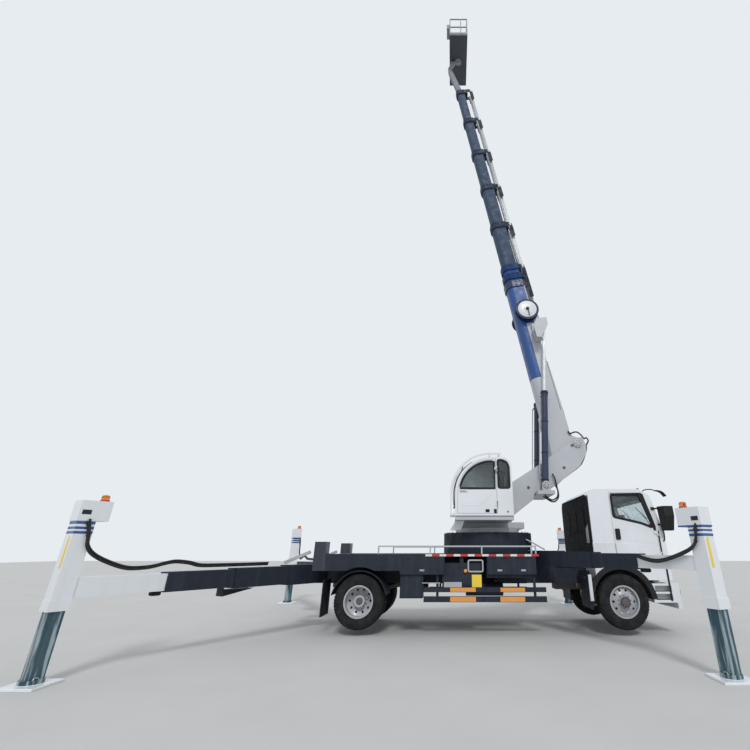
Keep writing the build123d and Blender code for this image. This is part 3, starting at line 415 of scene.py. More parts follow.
def moulded(name, colour, rough):
    """Moulded plastic with a fine leather-like grain."""
    f = Finish(name, Specular_IOR_Level=0.3)
    f.colour(f.mix(f.ramp(f.noise(4, 3), 0.35, 0.7), colour, darker(colour, 0.82)))
    f.rough(f.ramp(f.noise(12, 3), 0.3, 0.7, rough * 0.85, min(1, rough * 1.15)))
    f.bump(f.noise(400, 3), 0.2, 0.001)
    return f.material


def cloth(name, colour):
    """Woven seat cloth: two crossed waves for the weave."""
    f = Finish(name, Sheen_Weight=0.3)
    threads = [("Vector", f.place), ("Scale", 160.0)]
    warp, weft = (f.node("ShaderNodeTexWave", threads, bands_direction=way).outputs["Fac"] for way in "XZ")
    weave = f.product(warp, weft)
    f.colour(f.mix(weave, darker(colour, 0.6), colour))
    f.rough(f.ramp(f.noise(10, 3), 0.3, 0.7, 0.8, 0.95))
    f.bump(weave, 0.4, 0.001)
    return f.material


def pane(name, colour):
    """Tinted cab glass with a trace of dust."""
    f = Finish(name, Transmission_Weight=1.0, IOR=1.45)
    f.colour(f.mix(f.ramp(f.noise(5, 4), 0.45, 0.8), colour, tuple(min(1, c * 1.25 + 0.05) for c in colour)))
    f.rough(f.ramp(f.noise(14, 4), 0.4, 0.8, 0.02, 0.12))
    return f.material


WHITE = (0.74, 0.77, 0.80)
BLUE = (0.016, 0.075, 0.26)
SLATE = (0.042, 0.068, 0.118)
DARK = (0.017, 0.023, 0.037)
NAVY = (0.020, 0.030, 0.078)

paint("white_paint", WHITE)
paint("blue_paint", BLUE)
paint("slate_paint", SLATE)
paint("dark_paint", DARK, gloss=0.6, dust=0.05, coat=0.0)
paint("grey_paint", (0.24, 0.26, 0.29), gloss=0.5)
paint("teal_paint", (0.10, 0.27, 0.36), gloss=0.25)
paint("silver_paint", (0.42, 0.43, 0.45), gloss=0.45)
paint("foot_paint", (0.47, 0.49, 0.52), gloss=0.4)
paint("orange_paint", (0.80, 0.33, 0.06))
paint("yellow_paint", (0.85, 0.62, 0.05))
rubber("tyre_rubber", (0.012, 0.012, 0.013), rough=0.85)
rubber("hose_rubber", (0.018, 0.018, 0.02), rough=0.45)
cast("cast_steel", (0.10, 0.10, 0.11))
bare_metal("chrome_rod", (0.72, 0.73, 0.75), rough=0.12)
bare_metal("bolt_steel", (0.45, 0.46, 0.48), rough=0.4)
moulded("black_plastic", (0.014, 0.014, 0.016), rough=0.6)
cloth("seat_cloth", (0.06, 0.065, 0.075))
pane("cab_glass", (0.72, 0.79, 0.80))
pane("lamp_glass", (0.85, 0.87, 0.88))
pane("amber_glass", (0.85, 0.24, 0.02))
pane("red_glass", (0.55, 0.02, 0.015))
paint("red_paint", (0.50, 0.03, 0.03))
rubber("rear_wall_black", (0.006, 0.006, 0.007), rough=0.95, scale=30)
bare_metal("mirror_face", (0.85, 0.86, 0.88), rough=0.04)


def dress(name, finish):
    """Give a CAD node a finish."""
    mesh = nodes[name].data
    mesh.materials.clear()
    mesh.materials.append(finish)


for part in frame["record"]["subparts"]:
    dress(part["node"], material(part["material_slot"]))


# Detail pieces


def rounded(outline, radius, steps=5):
    """An outline whose corners are rounded: each corner P becomes the curve (1-t)^2 A + 2t(1-t) P + t^2 B."""
    points = np.asarray(outline, float)
    t = np.linspace(0, 1, steps)[:, None]

    def towards(other):
        way = other - points
        length = np.linalg.norm(way, axis=1, keepdims=True)
        return points + way * np.minimum(radius / length, 0.45)

    a, b = towards(np.roll(points, 1, 0)), towards(np.roll(points, -1, 0))
    bends = (1 - t) ** 2 * a[:, None] + 2 * t * (1 - t) * points[:, None] + t ** 2 * b[:, None]
    return bends.reshape(-1, 2)


def rim(outline, origin, x, y, width, thickness):
    """A strip round a closed outline in the plane of x and y: its section is a low bar with cut edges."""
    loop = np.asarray(outline, float)
    way = unit(np.roll(loop, -1, 0) - np.roll(loop, 1, 0))
    out = np.stack([way[:, 1], -way[:, 0]], 1)
    w, t = width / 2, thickness
    section = np.array([(-w, 0), (-w, 0.6 * t), (-0.6 * w, t), (0.6 * w, t), (w, 0.6 * t), (w, 0)])
    flat = loop[:, None] + out[:, None] * section[None, :, :1]
    grid = origin + flat[..., :1] * x + flat[..., 1:] * y + section[None, :, 1:] * np.cross(x, y)
    return skin(grid, rows_close=True, columns_close=True)


def bolts(places, axis, radius=0.014, height=0.012):
    """Hexagon heads on round washers at the given places, all facing along one axis."""
    washer = [(radius * 1.5, 0), (radius * 1.5, height * 0.25), (radius * 1.15, height * 0.3)]
    head = [(radius, height * 0.25), (radius, height * 0.85), (radius * 0.85, height)]
    shapes = [turned(washer, (0, 0, 0), axis, 18), turned(head, (0, 0, 0), axis, 6)]
    return [copies(s, places) for s in shapes]


def curve(points, steps=14):
    """A smooth path through points: a Catmull-Rom curve, evaluated at equal parameters."""
    p = np.asarray(points, float)
    p = np.concatenate([2 * p[:1] - p[1:2], p, 2 * p[-1:] - p[-2:-1]])
    t = np.linspace(0, 1, steps, endpoint=False)[None, :, None]
    a, b, c, d = (p[i:len(p) - 3 + i][:, None] for i in range(4))
    square, cube = 2 * a - 5 * b + 4 * c - d, 3 * b - a - 3 * c + d
    path = 0.5 * (2 * b + (c - a) * t + square * t ** 2 + cube * t ** 3)
    return np.concatenate([path.reshape(-1, 3), p[-2:-1]])


def hose(points, radius, steps=14):
    """A round bar along a smooth path."""
    return pipe(curve(points, steps), radius, 14)


def clamp(centre, axis, r):
    """A round band clamp."""
    return turned([(r, -0.015), (r + 0.006, -0.012), (r + 0.006, 0.012), (r, 0.015)], centre, axis, 20)


def side_wall(outline, y, thickness, edge=0.002):
    """A plate in an upright plane along the truck, its thickness going out to the right from y."""
    return plate(outline, (0, y, 0), (1, 0, 0), (0, 0, 1), thickness, edge)


def side_rim(outline, y, width, thickness):
    """A strip round an outline in such a plane."""
    return rim(outline, (0, y, 0), (1, 0, 0), (0, 0, 1), width, thickness)


def face(outline, x, thickness, edge=0.002):
    """A plate of (y, z) pairs in a plane across the truck, its thickness going forwards from x."""
    return plate(outline, at(x, 0, 0), (0, 1, 0), (0, 0, 1), thickness, edge)


# Tyres: (offset from the middle, radius, share of the shoulder notches)
TYRE_HALF = [
    (0.0, 0.494, 0), (0.006, 0.494, 0), (0.008, 0.5095, 0), (0.036, 0.5095, 0), (0.038, 0.494, 0),
    (0.049, 0.494, 0), (0.051, 0.509, 0.3), (0.075, 0.508, 0.6), (0.098, 0.505, 1), (0.114, 0.498, 1),
    (0.124, 0.486, 1), (0.131, 0.470, 0.8), (0.137, 0.452, 0), (0.1415, 0.430, 0), (0.1425, 0.424, 0),
    (0.1445, 0.420, 0), (0.1445, 0.402, 0), (0.1425, 0.396, 0), (0.142, 0.372, 0), (0.137, 0.346, 0),
    (0.1375, 0.341, 0), (0.133, 0.330, 0), (0.126, 0.312, 0), (0.124, 0.300, 0), (0.118, 0.291, 0),
    (0.108, 0.2885, 0), (0.0, 0.2885, 0),
]
TREAD_STEPS, NOTCH_EVERY, NOTCH_DEPTH = 216, 4, 0.013


def tyre(x, y):
    """A tyre: radius r(a, turn) = profile(a) - depth share(a) notch(turn), a notch at every fourth step."""
    half = np.array(TYRE_HALF)
    profile = np.concatenate([half[-2:0:-1] * (-1, 1, 1), half])
    turn = turns(TREAD_STEPS)[:, None]
    notch = (np.arange(TREAD_STEPS) % NOTCH_EVERY == 0)[:, None]
    radius = profile[None, :, 1] - NOTCH_DEPTH * profile[None, :, 2] * notch
    across = np.broadcast_to(y + profile[:, 0], radius.shape)
    grid = np.stack([x + radius * np.cos(turn), across, HUB_Z + radius * np.sin(turn)], -1)
    return skin(grid, rows_close=True, columns_close=True)


SIDES = {-1: "right", 1: "left"}
FRONT_X, TWIN_GAP = WHEELBASE + REAR_AXLE_X, 0.33
# Washer, nut and thread: profile and number of sides
NUT = [
    ([(0.021, 0), (0.021, 0.004), (0.014, 0.006)], 18),
    ([(0.0165, 0.004), (0.0165, 0.020), (0.012, 0.024)], 6),
    ([(0.009, 0.02), (0.009, 0.034), (0.007, 0.036)], 12),
]
CAP = [(0.096, 0), (0.096, 0.014), (0.09, 0.02), (0.075, 0.022), (0.07, 0.034), (0.04, 0.040), (0.03, 0.041)]
DRUM = [(0.105, -0.02), (0.105, 0.10), (0.098, 0.115), (0.07, 0.12), (0.066, 0.13), (0.03, 0.132)]
# wheel: X, |Y| of its nuts, radius of their circle, |Y| of the hub, the hub's profile
HUBS = {
    "front_wheel_": (FRONT_X, 1.186, 0.125, 1.245, CAP),
    "rear_wheels_": (REAR_AXLE_X, 0.971, 0.13, 0.975, DRUM),
}
for side, name in SIDES.items():
    tread = [tyre(FRONT_X, side * TRACK_Y)]
    obj = piece("front_tyre_tread_" + name, tread, "front_wheel_" + name, "tyre_rubber")
    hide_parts("front_tyre_" + name)
    twins = [tyre(REAR_AXLE_X, side * y) for y in (TRACK_Y, TRACK_Y - TWIN_GAP)]
    obj = piece("rear_tyre_treads_" + name, twins, "rear_wheels_" + name, "tyre_rubber")
    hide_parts("rear_tyres_" + name)
    out, around = (0, side, 0), turns(10) + 0.3
    nuts = [turned(profile, (0, 0, 0), out, sides) for profile, sides in NUT]
    for wheel, (x, y_nut, circle_r, y_hub, hub) in HUBS.items():
        body = wheel + name
        spots = arc((x, side * y_nut, HUB_Z), circle_r, around)
        piece("wheel_nuts_" + body, [copies(n, spots) for n in nuts], body, "silver_paint", "bolt_steel")
        cover_nuts = copies(nuts[1], arc((x, side * (y_hub + 0.02), HUB_Z), 0.084, around))
        piece("hub_cap_" + body, [turned(hub, (x, side * y_hub, HUB_Z), out), cover_nuts], body, "cast_grey")


# Boom


def root_bands(f, colour):
    """Pale grey, with the blue band on the belly side above s = 1.97 and the dark head."""
    s, v = f.along(BOOM_UP, PIVOT), f.along(BOOM_BELLY, PIVOT)
    belly = f.product(f.above(v, 0.40), f.above(s, 1.97))
    upper = f.product(f.above(v, 0.17), f.above(s, 3.66))
    tone = f.mix(f.maths("MAXIMUM", belly, upper), colour, BLUE)
    return f.mix(f.above(s, HEADS[0] - 0.2), tone, NAVY)


def section_bands(k):
    """The tube's colour, with a darker collar, dark roller brackets on the back and a grey arm on the 7th."""
    def bands(f, colour):
        s, v = f.along(BOOM_UP, PIVOT), f.along(BOOM_BELLY, PIVOT)
        low, high = HEADS[k] - COLLAR_BELOW, HEADS[k] + COLLAR_ABOVE
        tone = f.mix(f.between(low, s, high), colour, darker(colour, 0.5))
        if k == 7:
            tone = f.mix(f.above(s, high), tone, (0.22, 0.24, 0.27))
        return f.mix(f.above(BACKS[k] - 0.04, v), tone, DARK)
    return bands


# The collars of the root and the seven sections: height, half width and back, all of them shrinking evenly
COLLAR_BELOW, COLLAR_ABOVE = 0.205, 0.01
COLLAR_HEIGHTS = [0.54 - 0.038 * k for k in range(8)]
COLLAR_HALVES = [(0.52 - 0.038 * k) / 2 + 0.035 for k in range(8)]
BACKS = [0.39 - height / 2 for height in COLLAR_HEIGHTS]
dress("boom_root", paint("boom_root_paint", (0.47, 0.49, 0.52), gloss=0.4, bands=root_bands, coat=0.1))
dress("turret", material("foot_paint"))
for k in range(1, 8):
    look = {"gloss": 0.6, "dust": 0.04, "bands": section_bands(k), "coat": 0.0}
    dress("boom_section_%d" % k, paint("boom_paint_%d" % k, BLUE if k < 3 else SLATE, **look))

# The hoses up the boom run in two guide tubes. Each pair reaches from one head to the next.
# Dark cheeks, each on a foot, and a lid over them hold the pair at its head.
GUIDE_V, GUIDE_Y = BACKS[0] - 0.105, 0.116
GUIDE_FAR, GUIDE_NEAR, GUIDE_WALL = GUIDE_V - 0.082, GUIDE_V + 0.050, 0.0022
paint("guide_paint", (0.42, 0.45, 0.48), gloss=0.6)


def guide_tube(start, end, half_v, half_y, y):
    """A hollow box tube along the boom: outer and inner outlines carried from start to end, joined there."""
    outer = rounded(rect(-half_v, -half_y, half_v, half_y), 0.006, 3)
    inner = outer * (1 - GUIDE_WALL / half_v, 1 - GUIDE_WALL / half_y)
    rings = [(end, outer), (start, outer), (start, inner), (end, inner)]
    grid = np.array([[on_boom(s, GUIDE_V + v, y + across) for v, across in ring] for s, ring in rings])
    return skin(grid, rows_close=True, columns_close=True)


def boom_plate(pairs, y, thickness):
    """A plate of (s, v) pairs standing along the boom, its thickness going left from y."""
    return plate(pairs, on_boom(0, 0, y), BOOM_UP, BOOM_BELLY, thickness, 0.003)


for k, (back, head) in enumerate(zip(BACKS, HEADS)):
    body = "boom_section_%d" % k if k else "boom_root"
    carrier = "boom_section_%d" % (k - 1) if k > 1 else "boom_root"
    start, end = HEADS[k - 1] - 0.10 if k else 3.72, head - 0.01
    tubes = [guide_tube(start, end, 0.060 - 0.0031 * k, 0.029 - 0.0031 * k, y) for y in (-GUIDE_Y, GUIDE_Y)]
    reach = (body, tuple(on_boom(start, GUIDE_V)), tuple(on_boom(end, GUIDE_V))) if k else None
    piece("hose_guide_%d" % k, tubes, carrier, "silver_paint", "guide_paint", smooth=False, span=reach)
    y_plate = 0.150 + 0.010 * (7 - k)
    lid = rect(head - 0.195, GUIDE_FAR, head - 0.015, GUIDE_FAR + 0.007)
    holders = [boom_plate(lid, 0.03, y_plate - 0.03)]
    for y, foot_y, tail in ((-y_plate - 0.007, -y_plate - 0.008, 0.62), (y_plate, y_plate, 0.45)):
        cheek = rounded(rect(head - tail, GUIDE_FAR + 0.012, head - 0.17, GUIDE_NEAR), 0.035)
        foot_far, foot_near = GUIDE_FAR + 0.02, back - 0.03
        foot = [(-0.19, foot_far), (-0.03, foot_far), (-0.02, foot_near), (-0.19, foot_near)]
        foot = [(head + s, v if y > 0 else max(v, GUIDE_NEAR - 0.03)) for s, v in foot]
        holders += [boom_plate(cheek, y, 0.007), boom_plate(foot, foot_y, 0.008)]
    rows = [back + share * COLLAR_HEIGHTS[k] for share in (0.25, 0.5, 0.75)]
    spots = [on_boom(head - 0.1 + ds, v, -COLLAR_HALVES[k]) for v in rows for ds in (-0.06, 0.06)]
    holders += both_sides(bolts(spots, (0, -1, 0)))
    piece("guide_bracket_%d" % k, holders, body, "dark_paint")

# Hose reels: white disc with a ribbed dark rim, a hub and the end of the line
REEL_S, REEL_V, REEL_Y, WRAP_RADIUS = 4.03, 0.315, 0.44, 0.24
REEL_FACE = [(0.268, -0.002), (0.268, 0.004), (0.262, 0.008), (0.10, 0.010), (0.09, 0.018), (0.06, 0.020)]
REEL_HUB = [(0.05, 0.018), (0.05, 0.035), (0.03, 0.045), (0.028, 0.06)]
dress("hose_reels", paint("reel_paint", NAVY, gloss=0.5, coat=0.0))
discs, wraps = [], []
for side in (-1, 1):
    out = np.array([0, side, 0.0])
    centre = on_boom(REEL_S, REEL_V, side * REEL_Y)
    discs.append(turned(REEL_FACE, centre, out, 64))
    for depth in np.linspace(-0.142, -0.018, 7):
        ring = arc(centre + out * depth, WRAP_RADIUS, np.linspace(0, 2 * pi, 65), BOOM_UP, BOOM_BELLY)
        wraps.append(pipe(ring, 0.0095, 8))
    wraps.append(turned(REEL_HUB, centre, out, 24))
    line_end = [(0.03, 0, 0), (0.034, 0.1, 0.01), (0.03, 0.235, 0)]
    wraps.append(hose([centre + out * y - BOOM_UP * s - BOOM_BELLY * v for y, s, v in line_end], 0.012))
piece("reel_discs", discs, "boom_root", "white_paint")
piece("reel_hose", wraps, "boom_root", "black_plastic", "hose_rubber")

# Lift cylinders: s is the distance from the foot's pin
FOOT_X, FOOT_Z, BARREL_LENGTH = 4.14, 3.0, 2.37
lift_dir = unit(on_boom(3.4, 0.01) - at(FOOT_X, 0, FOOT_Z))
lift_side = np.array([-lift_dir[2], 0, lift_dir[0]])
dress("lift_barrels", paint("barrel_paint", NAVY, gloss=0.35, coat=0.1))
dress("lift_rods", bare_metal("rod_steel", (0.80, 0.82, 0.84), rough=0.22))
BARREL_RINGS = [
    (BARREL_LENGTH, [(0.094, -0.02), (0.1, -0.015), (0.1, 0.035), (0.094, 0.04)]),
    (BARREL_LENGTH, [(0.085, 0.055), (0.085, 0.066), (0.05, 0.072)]),
    (0.12, [(0.09, 0.0), (0.09, 0.03), (0.086, 0.034)]),
]
BARREL_LINE = [(0.25, 0.09), (0.32, 0.125), (0.5, 0.13), (2.1, 0.13), (2.22, 0.12), (2.27, 0.09)]
fittings, lines = [], []
for y in (-0.5, 0.5):
    foot = at(FOOT_X, y, FOOT_Z)
    fittings += [turned(profile, foot + lift_dir * s, lift_dir, 40) for s, profile in BARREL_RINGS]
    lines.append(hose([foot + lift_dir * s + lift_side * d for s, d in BARREL_LINE], 0.013))
    port = [(0.02, 0.07), (0.02, 0.105), (0.015, 0.11)]
    fittings += [turned(port, foot + lift_dir * s, lift_side, 6) for s in (0.25, 2.27)]
    fittings += [clamp(foot + lift_dir * s, lift_dir, 0.086) for s in (0.8, 1.6)]
piece("barrel_fittings", fittings, "lift_barrels", "dark_paint")
piece("barrel_lines", lines, "lift_barrels", "silver_paint", "bolt_steel")

# Turret: pin plates, bolts, grease nipples and hoses over the pivot
plates, heads = [], []
for side in (-1, 1):
    out = np.array([0, side, 0.0])
    for x, z, r, y in ((5.08, 4.07, 0.105, 0.375), (FOOT_X, FOOT_Z, 0.075, 0.655)):
        centre = at(x, side * y, z)
        disc = [(r, -0.004), (r, 0.006), (r * 0.9, 0.012), (r * 0.35, 0.012), (r * 0.3, 0.02)]
        plates.append(turned(disc, centre, out, 40))
        heads += bolts(arc(centre + out * 0.012, 0.7 * r, turns(6)), out, 0.009, 0.010)
    nipple = [(0.035, 0), (0.035, 0.01), (0.028, 0.016), (0.012, 0.018)]
    for x, z in ((4.94, 4.02), (4.68, 3.46), (3.76, 2.98)):
        heads.append(turned(nipple, at(x, side * 0.35, z), out, 24))
piece("pin_plates", plates, "turret", "white_paint", "foot_paint")
piece("pin_bolts", heads, "turret", "cast_grey")
for name, body, z, radius, bolt in (
    ("slew_bolts", "turret", 2.04, 0.70, 0.016), ("pedestal_bolts", "chassis", 1.94, 0.97, 0.018),
):
    spots = arc(at(2.75, 0, z), radius, turns(36), (1, 0, 0), (0, 1, 0))
    piece(name, bolts(spots, (0, 0, 1), bolt, 0.02), body, "silver_paint", "bolt_steel")

BOW_LINE = [
    (4.885, 4.40), (4.93, 4.33), (5.0, 4.355), (5.1, 4.37), (5.2, 4.30), (5.27, 4.20), (5.33, 4.22),
    (5.37, 4.14), (5.31, 4.03), (5.30, 3.95), (5.26, 3.82), (5.17, 3.63), (5.07, 3.50), (4.80, 3.31),
    (4.60, 3.17), (4.42, 3.02),
]
LOOPS = [
    [
        (4.36, -0.40, 3.30), (4.40, -0.43, 3.20), (4.44, -0.40, 3.02), (4.46, -0.38, 2.85),
        (4.44, -0.36, 2.76), (4.36, -0.40, 2.70), (4.28, -0.44, 2.68), (4.20, -0.46, 2.72),
        (4.12, -0.46, 2.79),
    ],
    [
        (4.42, -0.37, 3.02), (4.46, -0.40, 2.90), (4.45, -0.42, 2.74), (4.34, -0.46, 2.64),
        (4.22, -0.48, 2.66), (4.08, -0.46, 2.77),
    ],
]
for y in (-0.33, -0.30, -0.27):
    shift = (y + 0.33) * 0.9
    LOOPS.append([(x + shift * 0.3, y, z + shift * 0.35) for x, z in BOW_LINE])
foot_hoses = [hose(all_at(loop), 0.017) for loop in LOOPS]
piece("pivot_hoses", foot_hoses, "turret", "black_plastic", "hose_rubber")

# Operator's cab
NOSE_X, NOSE_Z, NOSE_R = at(2.77, 0, 0)[0], 2.705, 0.805
PANE_REAR, PANE_LOW = at(2.84, 0, 0)[0], 2.823
# The right-hand face, the edges of the front pane and the arc of its bars
OP_Y, PANE_SIDES, BOW = -1.40, (-1.34, -0.72), np.linspace(pi, pi - 1.02, 22)

# The door's pane: an arc about the nose's centre, a straight rear edge and a straight sill
door_r = NOSE_R - 0.10
first, last = pi - np.arcsin((PANE_LOW - NOSE_Z) / door_r), np.arccos((PANE_REAR - NOSE_X) / door_r)
door_bow = arc((NOSE_X, 0, NOSE_Z), door_r, np.linspace(first, last, 20))[:, ::2]
door_pane = np.concatenate([door_bow, [(PANE_REAR, PANE_LOW)]])
rear_pane = [(2.922, 2.835), (2.922, 3.44), (3.02, 3.44), (3.12, 3.395), (3.16, 3.29), (3.16, 2.835)]
rear_pane = rounded(from_axle(rear_pane), 0.04)
for name, outline, body in (("door", door_pane, "operator_door"), ("rear", rear_pane, "turret")):
    seal = [side_rim(outline, OP_Y + 0.001, 0.05, 0.010), side_rim(outline, OP_Y + 0.041, 0.036, -0.008)]
    piece("operator_%s_seal" % name, seal, body, "black_plastic")
    piece("operator_%s_glass" % name, [side_wall(outline, OP_Y + 0.024, 0.006)], body, "clear_glass")
front_x = NOSE_X - NOSE_R - 0.004
posts = [arc((NOSE_X, y, NOSE_Z), NOSE_R + 0.004, BOW) for y in PANE_SIDES]
posts += [[(front_x, y, 2.47), (front_x, y, 2.70)] for y in PANE_SIDES]
bars = [[posts[0][-1], posts[1][-1]], [posts[2][0], posts[3][0]]]
blade = arc((NOSE_X, 0, NOSE_Z), NOSE_R + 0.03, BOW[4:18])
blade[:, 1] = np.linspace(-1.12, -1.20, len(blade))
arm = [at(1.955, -1.03, 2.45), at(1.93, -1.03, 2.6), at(1.945, -1.08, 2.85), blade[7]]
front_seal = [pipe(path, 0.014, 8) for path in posts + bars] + [pipe(blade, 0.009, 8), hose(arm, 0.008)]
front_seal.append(turned([(0.02, 0), (0.02, 0.03), (0.012, 0.04)], at(1.968, -1.03, 2.45), (-1, 0, 0), 16))
piece("operator_front_seal", front_seal, "turret", "black_plastic")

grip = [(2.075, 0.002, 2.79), (2.08, 0.03, 2.787), (2.12, 0.04, 2.782), (2.20, 0.034, 2.777)]
grip = [at(x, OP_Y - out, z) for x, out, z in grip + [(2.21, 0.002, 2.772)]]
handle = [hose(grip, 0.013), box(2.07, OP_Y - 0.012, 2.742, 2.25, OP_Y + 0.002, 2.80, 0.005)]
piece("operator_door_handle", handle, "operator_door", "white_paint")
vents = [
    box(2.62, OP_Y - 0.010, 2.325, 2.705, OP_Y + 0.004, 2.385, 0.006),
    box(2.80, OP_Y - 0.009, 2.30, 2.86, OP_Y + 0.004, 2.39, 0.006),
    turned([(0.016, 0), (0.016, 0.01), (0.01, 0.014)], at(3.10, OP_Y, 2.335), (0, -1, 0), 18),
]
for z in (2.337, 2.352, 2.367):
    vents.append(box(2.628, OP_Y - 0.016, z, 2.697, OP_Y - 0.008, z + 0.006, 0.002))
piece("operator_cab_vents", vents, "turret", "black_plastic")
crease = [(2.08, 2.462), (2.46, 2.468), (2.53, 2.50), (2.74, 2.70), (2.86, 2.79)]
crease = [hose([at(x, OP_Y, z) for x, z in crease], 0.005, 6)]
piece("operator_door_crease", crease, "operator_door", "white_paint")
sill = [box(1.975, OP_Y - 0.012, 2.236, 3.215, OP_Y + 0.004, 2.258, 0.006)]
for z in (3.2, 2.5):
    sill.append(turned([(0.016, -0.05), (0.016, 0.05)], at(2.88, OP_Y - 0.012, z), (0, 0, 1), 16))
piece("operator_cab_fittings", sill, "turret", "grey_paint")


def cushion(half, crown, rows=18):
    """A pad of half-sizes (a, b, c): its height c falls off towards the edges as 1 - m^6, m the larger of |u|
    and |w|, its sides pull in between the corners, and its top rises by crown (1 - u^2)(1 - w^2)."""
    a, b, c = half
    u = np.sin(np.linspace(-pi / 2, pi / 2, rows))
    u, w = np.meshgrid(u, u, indexing="ij")
    thick = c * (0.45 + 0.55 * (1 - np.maximum(np.abs(u), np.abs(w)) ** 6))
    x, y = a * u * (1 - 0.03 * (1 - w ** 2)), b * w * (1 - 0.03 * (1 - u ** 2))
    seam = 0.008 * np.exp(-((np.abs(w) - 0.62) / 0.03) ** 2)
    top = np.stack([x, y, thick + crown * (1 - u ** 2) * (1 - w ** 2) - seam], -1)
    low = np.stack([x, y, -thick], -1)
    border = [np.concatenate([g[:-1, 0], g[-1, :-1], g[:0:-1, -1], g[0, :0:-1]]) for g in (top, low)]
    return [skin(top), skin(low), skin(np.stack(border), columns_close=True)]


def tilted(shapes, degrees, centre):
    """Turned about the Y axis and put at centre."""
    c, s = cos(radians(degrees)), sin(radians(degrees))
    return [moved(shape, [[c, 0, s], [0, 1, 0], [-s, 0, c]], centre) for shape in shapes]


# seat: name, body, Y of each, place of the seat pad, place and tilt of the back pad, half width
SEATS = [
    ("operator_seat_pads", "turret", [-1.03], (2.76, 2.655), (3.0, 3.0), 80, 0.205),
    ("cab_seat_pads", "cab", [-0.52, 0.52], (5.52, 1.74), (5.27, 2.06), -100, 0.235),
]
for name, body, places, (seat_x, seat_z), (rest_x, rest_z), tilt, half in SEATS:
    pads = []
    for y in places:
        pads += tilted(cushion((0.235, half, 0.06), 0.022), -5, at(seat_x, y, seat_z))
        pads += tilted(cushion((0.30, half, 0.05), 0.02), tilt, at(rest_x, y, rest_z))
    piece(name, pads, body, "dark_fabric")

# Truck cab: its right-hand face, rear wall and front
CAB_Y, CAB_REAR, CAB_FACE, BUMPER_X = -1.15, 4.90, 6.48, 6.62


def cab_bands(f, colour):
    """White, with a very dark rear wall."""
    rear_wall = f.product(f.above(CAB_REAR + 0.02, f.from_axle()), f.above(f.height(), 1.25))
    return f.mix(rear_wall, colour, (0.012, 0.014, 0.017))


dress("cab_shell", paint("cab_paint", WHITE, gloss=0.22, bands=cab_bands))
window, pillar, visor, wing_rear, wing_front = (from_axle(pairs) for pairs in (
    [(5.435, 2.25), (5.435, 2.71), (6.075, 2.71), (6.255, 2.11), (6.24, 2.03), (6.017, 2.12)],
    [(6.09, 2.735), (6.15, 2.735), (6.318, 2.06), (6.318, 1.93), (6.262, 1.97), (6.275, 2.08)],
    [(5.42, 2.742), (5.42, 2.728), (5.9, 2.735), (6.09, 2.722), (6.12, 2.735), (6.10, 2.752)],
    [(4.905, 1.47), (5.38, 1.47), (5.38, 1.718), (4.905, 1.728)],
    [(5.395, 1.47), (5.99, 1.47), (5.975, 1.559), (5.82, 1.65), (5.673, 1.705), (5.395, 1.718)],
))
window = rounded(window, 0.045)
seal = [side_rim(window, CAB_Y + 0.001, 0.052, 0.010), side_rim(window, CAB_Y + 0.045, 0.04, -0.008)]
trim = [side_wall(pillar, CAB_Y + 0.002, 0.008), side_wall(visor, CAB_Y + 0.002, 0.028)]
trim.append(box(5.425, CAB_Y - 0.034, 1.785, 5.525, CAB_Y + 0.002, 2.005, 0.016))
folds = [[(5.41, 1.77), (5.8, 1.76), (6.1, 1.73), (6.30, 1.69)], [(5.41, 1.41), (5.9, 1.41), (6.30, 1.41)]]
folds = [hose([at(x, CAB_Y + 0.001, z) for x, z in fold], 0.005, 6) for fold in folds]
treads = [box(6.03, CAB_Y + 0.005, z, 6.42, CAB_Y + 0.10, z + 0.010, 0.003) for z in (0.642, 0.792)]
treads.append(box(6.372, CAB_Y - 0.014, 0.62, 6.41, CAB_Y + 0.008, 1.22, 0.01))
wing = side_wall(rounded(wing_front, 0.03), CAB_Y + 0.002, 0.026, 0.008)
for side, name in SIDES.items():
    body = "door_" + name
    piece("door_seal_" + name, seal, body, "black_plastic", side=side)
    piece("door_glass_" + name, [side_wall(window, CAB_Y + 0.028, 0.006)], body, "clear_glass", side=side)
    piece("door_trim_" + name, trim, body, "black_plastic", side=side)
    piece("door_folds_" + name, folds, body, "white_paint", side=side)
    piece("step_pads_" + name, treads, "chassis", "black_plastic", side=side)
    piece("door_wing_" + name, [wing], body, "white_paint", side=side)

# Wheel arch: its section in (y, radius) carried round the front wheel
arch_in, arch_out, arch_edge, arch_back = TYRE_RADIUS + 0.085, TYRE_RADIUS + 0.19, CAB_Y - 0.016, CAB_Y + 0.02
section = [
    (arch_edge, arch_in), (arch_edge, arch_out), (arch_back, arch_out), (arch_back, arch_in + 0.004),
    (-0.62, arch_in + 0.004), (-0.62, arch_in),
]
over = np.linspace(radians(4), radians(176), 36)
grip = [(6.40, 0.03, 1.74), (6.455, -0.018, 1.79), (6.46, -0.02, 2.0), (6.415, 0.03, 2.08)]
cab_black = both_sides([
    capped(np.stack([arc((FRONT_X, y, HUB_Z), r, over) for y, r in section], 1)),
    hose([at(x, CAB_Y + y, z) for x, y, z in grip], 0.012),
    box(6.335, CAB_Y - 0.006, 1.36, 6.37, CAB_Y + 0.004, 1.98, 0.003),
])
beacon = [(0.02, 0), (0.02, 0.01), (0.008, 0.02), (0.008, 0.045), (0.03, 0.055), (0.03, 0.075), (0.015, 0.09)]
mirror_arm = [(6.19, -1.04, 2.79), (6.25, -1.08, 2.83), (6.38, -1.10, 2.835), (6.50, -1.10, 2.80)]
low_mirror = [(6.48, -1.10, 2.812), (6.56, -1.10, 2.795), (6.62, -1.10, 2.755), (6.67, -1.10, 2.685)]
cab_black.append(turned(beacon, at(6.17, -0.9, 2.80), (0, 0, 1), 20))
cab_black.append(hose(all_at(mirror_arm), 0.011))
